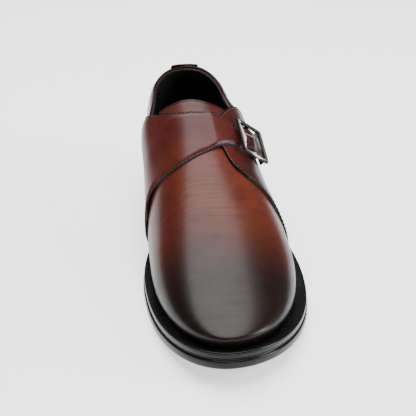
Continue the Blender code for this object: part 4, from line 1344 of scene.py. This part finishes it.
    def soft_waves(self, along: Array, across: Array) -> Array:
        """Low waves of hand-lasted leather: two sines of different length and turn."""
        first = np.sin(along * 61.0 + across * 3.1)
        second = np.sin(along * 23.0 - across * 7.3 + 1.3)
        return 0.05 * MM * (first + second)

    def stitches(self, name: str, thread: bpy.types.Material, outside: Array, overlay: Overlay,
                 feather: float, stage: Array) -> bpy.types.Object:
        """Stitches along both seams of an overlay.

        Args:
            name: The piece's name.
            thread: Its material.
            outside: The overlay's outer face.
            overlay: The overlay, for where its seam's row lies.
            feather: The stage at which the low edge leaves the feather edge.
            stage: The overlay's stages.

        Returns:
            The stitches as one piece.
        """
        seam = overlay.edge_steps.index(round(overlay.seam_inset / MM, 3))
        normal = self.outward(outside, grid_normals(outside))
        mesher = Mesher()
        rising = stage >= feather
        self.stitching.row(mesher, outside[rising, seam], normal[rising, seam])
        self.stitching.row(mesher, outside[:, -1 - seam], normal[:, -1 - seam])
        made = mesher.build(name, thread)
        return made

    def outward(self, points: Array, normal: Array) -> Array:
        """Turns normals so that they point away from the last's centre line."""
        centre = points.copy()
        centre[..., 0] = self.last.axis
        centre[..., 2] = 0.03
        out = np.sum((points - centre) * normal, axis=-1, keepdims=True)
        return np.where(out < 0, -normal, normal)

    def build_outer_quarter(self, finish: bpy.types.Material, thread: bpy.types.Material) -> list:
        """The outer quarter with the tab that carries the buckle."""
        overlay = Overlay(self.last, self.quarter_leather)
        feather, corner_stage = 0.60, 0.48
        stage = np.concatenate((
            np.linspace(0, corner_stage, 120), np.linspace(corner_stage, feather, 40)[1:],
            np.linspace(feather, 1, 120)[1:],
        ))
        tab_end = self.tab_front.at[0]
        past = np.clip((stage - feather) / (1 - feather), 0, 1)
        low_across = 2.0 - (2.0 - tab_end) * past
        low_along = np.where(
            stage < feather, self.heel_pace(stage / feather, self.tab_front.value[-1]),
            self.tab_front(low_across))
        corner = self.last.collar_corner(True)
        past = np.clip((stage - corner_stage) / (1 - corner_stage), 0, 1)
        collar_along = self.heel_pace(stage / corner_stage, self.last.corner)
        behind = stage < corner_stage
        back = self.last.corner + (self.tab_back - self.last.corner) * past**self.tab_curve
        high_along = np.where(behind, collar_along, back)
        high_across = np.where(
            behind, self.last.collar(collar_along, True), corner + (tab_end - corner) * past)
        along, across = overlay.rows((low_along, low_across), (high_along, high_across))
        under = np.full_like(along, self.quarter_gap)
        outside, inside, edge = overlay.faces(
            along, across, under, "low high end", self.soft_waves(along, across))
        edge = np.where((stage < feather)[:, None] & (across > 1.7), 1.0, edge)
        mesher = Mesher()
        mesher.shell(outside, inside, edge)
        quarter = mesher.build("outer_quarter_and_tab", finish)
        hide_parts("quarter_outer")
        return [quarter, self.stitches("tab_stitching", thread, outside, overlay, feather, stage)]

    def build_tongue(self, finish: bpy.types.Material) -> bpy.types.Object:
        """The tongue, from the throat's point to its rounded top edge."""
        last = self.last
        overlay = Overlay(last, self.tongue_leather, 0.7 * MM)
        inner = last.collar_corner(False, self.lining_below)
        outer = last.collar_corner(True, self.lining_below)
        across = np.linspace(self.tongue_top.at[0], self.tongue_top.at[-1], 120)
        closed = np.where(across > 1.0, (across - outer) / (1 - outer), (across - inner) / (1 - inner))
        clearance = 0.8 * MM / last.length
        top = self.tongue_top(across)
        foot = np.maximum(last.throat(closed) - clearance, top + clearance)
        along, across = overlay.rows((foot, across), (top, across))
        under = np.full_like(along, -self.tongue_leather)
        outside, inside, edge = overlay.faces(along, across, under, "high start end")
        mesher = Mesher()
        mesher.shell(outside, inside, edge)
        made = mesher.build("tongue_leather_piece", finish)
        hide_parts("tongue")
        return made

    def build_back_strip(self, finish: bpy.types.Material, thread: bpy.types.Material) -> list:
        """The strip over the back seam, with a row of stitches down either side."""
        overlay = Overlay(self.last, self.strip_leather, 0.4 * MM, 0.10 * MM)
        level = np.linspace(0.0, 1.0, 140)
        half = 0.018 + (0.039 - 0.018) * level
        top = self.last.collar(half, False, -1.0 * MM)
        mesher, threads = Mesher(), Mesher()
        share = np.linspace(0.0, 1.0, 40)
        away = half[:, None] * share
        height = np.broadcast_to((top * level)[:, None], away.shape)
        along = np.concatenate((away[:, ::-1], away[:, 1:]), axis=1)
        across = np.concatenate((height, 2.0 - height[:, 1:]), axis=1)
        under = np.full_like(along, self.quarter_gap + self.quarter_leather + self.last.gap)
        outside, inside, edge = overlay.faces(along, across, under, "low high end")
        mesher.shell(outside, inside, edge)
        strip = mesher.build("back_strip_piece", finish)
        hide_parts("back_strip")
        normal = self.outward(outside, grid_normals(outside))
        walked = run_lengths(outside, 1)
        column = int(np.argmin(np.abs(walked[70] - 1.7 * MM)))
        for k in (column, -1 - column):
            self.stitching.row(threads, outside[4:-6, k], normal[4:-6, k])
        seams = threads.build("back_strip_stitching", thread)
        return [strip, seams]


@dataclass
class Sole:
    """Insole, midsole, outsole, heel block and top lift."""

    last: Last
    groove: float = 0.7 * MM
    lift: float = 6.0 * MM
    heel_breast: float = 0.074
    heel_pitch: float = 1.5 * MM
    insole: float = 3.0 * MM
    wall: float = 1.8 * MM
    tread_depth: float = 0.7 * MM
    tread_pitch: float = 6.0 * MM
    forepart_tread: tuple[float, float] = (0.45, 0.675)
    heel_tread: tuple[float, float] = (0.15, 0.235)
    line_rows: tuple[float, float] = (0.84, 0.88)
    bar_rows: float = 0.81
    tread_rows: tuple[float, ...] = (
        0.0, 0.1, 0.2, 0.32, 0.45, 0.58, 0.70, 0.80, 0.83, 0.845, 0.875, 0.885, 0.91, 0.94, 0.97, 1.0)

    def ribs(self, end: float = 1.0, more: Array | tuple = ()) -> tuple[Array, Array]:
        """Stations round the sole: inner side to the toe, and the outer side back."""
        along = np.unique(np.concatenate((
            np.linspace(0, self.last.heel_turn, 40),
            np.linspace(self.last.heel_turn, self.last.toe_turn, 90)[1:],
            np.linspace(self.last.toe_turn, 1.0, 70)[1:],
            more,
        )))
        if end < 1.0:
            along = np.append(along[along < end - 0.002], end)
            loop = np.concatenate((along[::-1], along[1:]))
            outer = np.concatenate((np.zeros(len(along)), np.ones(len(along) - 1))) > 0
            return loop, outer
        loop = np.concatenate((along, along[-2:0:-1]))
        outer = np.concatenate((np.zeros(len(along)), np.ones(len(along) - 2))) > 0
        return loop, outer

    def tread_stations(self, reach: tuple[float, float]) -> Array:
        """Stations of the tread's bars: the lip, foot, foot and lip of each groove."""
        middle = np.arange(*reach, self.tread_pitch / self.last.length)
        lips = np.array((-0.9, -0.55, 0.55, 0.9)) * MM / self.last.length
        return (middle[:, None] + lips).ravel()

    def plate(self, mesher: Mesher, loop: tuple[Array, Array], edge: tuple, low: object, high: object,
              inset: float = 0.0, tread: Array | None = None) -> None:
        """Adds a plate: an edge profile carried round the ribs, and its two faces.

        Each face is the rim shrunk towards the ribs' roots, at the face's own height.

        Args:
            mesher: What collects it.
            loop: Stations, and whether each is on the outer side.
            edge: Pairs of distance in from the ledge and share of the height, top first.
            low: The underside's height along the shoe.
            high: The top's height.
            inset: Distance by which the whole edge is drawn in.
            tread: Stations of the tread's grooves, where its underside has a tread.
        """
        along, outer = loop
        ledge = self.last.ledge(along, outer) - inset
        side = []
        for rim, share in edge:
            x, y, _, _ = self.last.rib(along, outer, 0.0, ledge - rim)
            v = self.last.share(y)
            side.append(np.stack((x, y, low(v) + (high(v) - low(v)) * share), axis=-1))
        rows = np.array(self.tread_rows)
        faces = []
        for rim, height in ((edge[0][0], high), (edge[-1][0], low)):
            x, y, rx, ry = self.last.rib(along, outer, 0.0, ledge - rim)
            px = rx + (x - rx) * rows[:, None]
            py = ry + (y - ry) * rows[:, None]
            z = height(self.last.share(py))
            if height is low and tread is not None:
                z = z + self.tread_depth * self.tread_pattern(along, rows, tread)
            faces.append(np.stack((px, py, z), axis=-1))
        rings = np.concatenate((faces[0][:-1], np.stack(side), faces[1][-2::-1]))
        closed = len(along) > 2 and along[0] == 0.0
        mesher.grid(rings, wrap=(False, closed))
        if not closed:
            ends = np.stack((rings[:, 0], rings[:, -1]), axis=1)
            half = len(ends) // 2
            mesher.grid(np.stack((ends[:half, 0], ends[:half, 1])))
            self.breast(mesher, rings)

    def tread_pattern(self, along: Array, rows: Array, tread: Array) -> Array:
        """Where the tread is cut: a line inside the rim, and bars across the sole.

        Args:
            along: Stations of the ribs.
            rows: Shares of the way from the ribs' roots to the rim.
            tread: Stations of the bars, four to a bar.

        Returns:
            1 in a groove and 0 outside it, rows by stations.
        """
        line = np.where((rows > self.line_rows[0]) & (rows < self.line_rows[1]), 1.0, 0.0)
        bars = tread.reshape(-1, 4)
        near = np.abs(along[:, None] - bars.mean(axis=1)).min(axis=1)
        width = (bars[0, 2] - bars[0, 1]) / 2
        bar = np.where(near < width * 1.05, 1.0, 0.0)
        inside = np.where(rows < self.bar_rows, 1.0, 0.0)
        return np.maximum(line[:, None], inside[:, None] * bar[None, :])

    def breast(self, mesher: Mesher, rings: Array) -> None:
        """Closes a heel's front: a flat wall between its two ends, top face to underside."""
        count = len(self.tread_rows)
        top, bottom = rings[:count], rings[:-count - 1:-1]
        first = np.concatenate((top[::-1, 0], top[1:, -1]))
        second = np.concatenate((bottom[::-1, 0], bottom[1:, -1]))
        mesher.grid(np.stack((first, second)))

    def build_outsole(self, rubber: bpy.types.Material) -> bpy.types.Object:
        """The outsole, whose edge has a rounded foot and a groove below the midsole."""
        g = self.groove
        edge = (
            (2 * g, 1.0), (2 * g, 0.93), (1.9 * g, 0.90), (1.5 * g, 0.86), (0.8 * g, 0.82),
            (0.3 * g, 0.77), (0.0, 0.68), (0.0, 0.5), (0.0, 0.3), (0.1 * g, 0.17), (0.35 * g, 0.07),
            (0.85 * g, 0.0),
        )
        mesher = Mesher()
        last = self.last
        tread = self.tread_stations(self.forepart_tread)
        self.plate(
            mesher, self.ribs(more=tread), edge, last.bottom,
            lambda v: last.bottom(v) + last.outsole(v), tread=tread)
        made = mesher.build("outsole_piece", rubber, 60.0)
        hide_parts("outsole")
        return made

    def build_midsole(self, rubber: bpy.types.Material) -> bpy.types.Object:
        """The midsole, whose top shows as the welt round the upper."""
        g = self.groove
        edge = (
            (2.2 * g, 1.0), (1.6 * g, 0.96), (1.2 * g, 0.86), (1.0 * g, 0.70), (1.0 * g, 0.40),
            (1.1 * g, 0.16), (1.5 * g, 0.05), (2 * g, 0.0),
        )
        mesher = Mesher()
        self.plate(mesher, self.ribs(), edge, self.last.midsole_foot, self.last.seat)
        made = mesher.build("midsole_piece", rubber, 60.0)
        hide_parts("midsole")
        return made

    def build_heel(self, rubber: bpy.types.Material) -> list:
        """The heel block and its top lift."""
        end = self.heel_breast / self.last.length
        pitch, gap, lift = self.heel_pitch, self.last.gap, self.lift
        sides = tuple((pitch * share, 1.0 - share) for share in (0.0, 0.25, 0.5, 0.75, 1.0))
        block = Mesher()
        self.plate(
            block, self.ribs(end), sides, lambda v: np.full_like(v, lift + gap),
            lambda v: self.last.bottom(v) - gap)
        made = block.build("heel_block_piece", rubber, 40.0)
        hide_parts("heel_block")
        cap = Mesher()
        rim = ((0.2 * MM, 1.0), (0.0, 0.95), (0.0, 0.5), (0.0, 0.08), (0.35 * MM, 0.0))
        tread = self.tread_stations(self.heel_tread)
        self.plate(
            cap, self.ribs(end, tread), rim, np.zeros_like, lambda v: np.full_like(v, lift),
            pitch, tread)
        lifted = cap.build("top_lift_piece", rubber, 40.0)
        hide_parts("top_lift")
        return [made, lifted]

    def build_insole(self, leather: bpy.types.Material) -> bpy.types.Object:
        """The sock over the insole, a little dished under the heel and the ball."""
        along, outer = self.ribs()
        x, y, rx, ry = self.last.rib(along, outer, 0.0, -(self.wall + self.last.gap))
        rows = np.linspace(0, 1, 30)[:, None]
        px, py = rx + (x - rx) * rows, ry + (y - ry) * rows
        seat = self.last.seat(self.last.share(py)) + 2 * self.last.gap
        rim = np.clip((1 - rows) / 0.06, 0, 1)
        crown = seat + self.insole * (0.8 + 0.2 * np.sqrt(1 - (1 - rim) ** 2))
        top = np.stack((px, py, crown), axis=-1)
        foot = np.stack((px, py, seat), axis=-1)
        mesher = Mesher()
        mesher.grid(np.concatenate((top, foot[::-1])), wrap=(False, True))
        made = mesher.build("insole_piece", leather, 60.0)
        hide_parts("insole")
        return made


@dataclass
class Stage:
    """Floor, lights and camera."""

    camera_at: tuple[float, float, float] = (-0.0660, -0.5050, 0.3225)
    aim: tuple[float, float, float] = (-0.0056, -0.010, 0.040)
    lens: float = 70.0
    sky: tuple[float, ...] = (0.95, 0.97, 1.0, 1.0)
    sky_strength: float = 0.22

    def build_floor(self, finish: bpy.types.Material) -> bpy.types.Object:
        """A wide floor under the shoe."""
        mesher = Mesher()
        side = np.linspace(-4.0, 4.0, 5)
        x, y = np.meshgrid(side, side, indexing="ij")
        mesher.grid(np.stack((x, y, np.zeros_like(x)), axis=-1))
        mesh = bpy.data.meshes.new("floor")
        points = np.concatenate(mesher.points)
        mesh.from_pydata(points.tolist(), [], np.concatenate(mesher.quads).tolist())
        mesh.materials.append(finish)
        made = add_object("floor", mesh)
        return made

    def look(self, made: bpy.types.Object, target: tuple[float, float, float]) -> None:
        """Turns an object so that its -Z axis points at a target."""
        away = Vector(target) - made.location
        made.rotation_euler = away.to_track_quat("-Z", "Y").to_euler()

    def softbox(self, name: str, at: tuple[float, float, float], size: tuple[float, float],
                power: float, colour: Colour = (1.0, 1.0, 1.0)) -> None:
        """Adds an area light aimed at the shoe."""
        light = bpy.data.lights.new(name, "AREA")
        light.shape = "RECTANGLE"
        light.size, light.size_y = size
        light.energy = power
        light.color = colour
        made = add_object(name, light)
        made.location = at
        self.look(made, self.aim)

    def build(self, floor: bpy.types.Material) -> None:
        """Sets the floor, the lights, the world and the camera."""
        self.build_floor(floor)
        self.softbox("softbox_above", (-0.05, 0.35, 1.35), (1.25, 1.35), 50.0)
        self.softbox("softbox_front", (0.10, -1.5, 0.34), (0.08, 0.16), 5.0)
        self.softbox("softbox_outer_side", (1.1, -0.35, 0.5), (0.30, 0.9), 20.0, (0.90, 0.95, 1.0))
        self.softbox("softbox_inner_side", (-1.3, -0.5, 0.8), (0.4, 0.8), 1.5)
        world = bpy.data.worlds.new("studio")
        world.use_nodes = True
        background = world.node_tree.nodes["Background"]
        background.inputs["Color"].default_value = self.sky
        background.inputs["Strength"].default_value = self.sky_strength
        bpy.context.scene.world = world
        camera = bpy.data.cameras.new("camera")
        camera.lens = self.lens
        camera.clip_start = 0.01
        made = add_object("camera", camera)
        made.location = self.camera_at
        self.look(made, self.aim)
        bpy.context.scene.camera = made


def main() -> None:
    """Builds every piece in order and reports each one."""
    logging.basicConfig(level=logging.INFO, format="%(message)s")
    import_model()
    last = Last()
    vamp = BurnishedLeather(Area.VAMP).material()
    quarter = BurnishedLeather(
        Area.QUARTER, light=(0.074, 0.0120, 0.0066), deep=(0.036, 0.0056, 0.0038)).material()
    tongue = BurnishedLeather(Area.TONGUE, light=(0.075, 0.0170, 0.0110)).material()
    lining, rubber = LiningLeather().material(), SoleRubber().material()
    thread, nickel = WaxedThread().material(), GreyNickel().material()
    buckle = Buckle(last)
    upper, sole = Upper(last, buckle), Sole(last)
    pieces = [upper.build_vamp(vamp), upper.build_lining(lining)]
    pieces += upper.build_inner_quarter(quarter, thread)
    pieces += upper.build_outer_quarter(quarter, thread)
    pieces.append(upper.build_tongue(tongue))
    pieces += upper.build_back_strip(quarter, thread)
    pieces += [sole.build_outsole(rubber), sole.build_midsole(rubber)]
    pieces += sole.build_heel(rubber)
    pieces.append(sole.build_insole(lining))
    pieces += [buckle.build_frame(nickel), buckle.build_prong(nickel), buckle.build_chape(quarter)]
    pieces += upper.build_hole(quarter, lining)
    Stage().build(StudioFloor().material())
    for piece in pieces:
        logging.info("%s: %d faces", piece.name, len(piece.data.polygons))


if __name__ == "__main__":
    main()
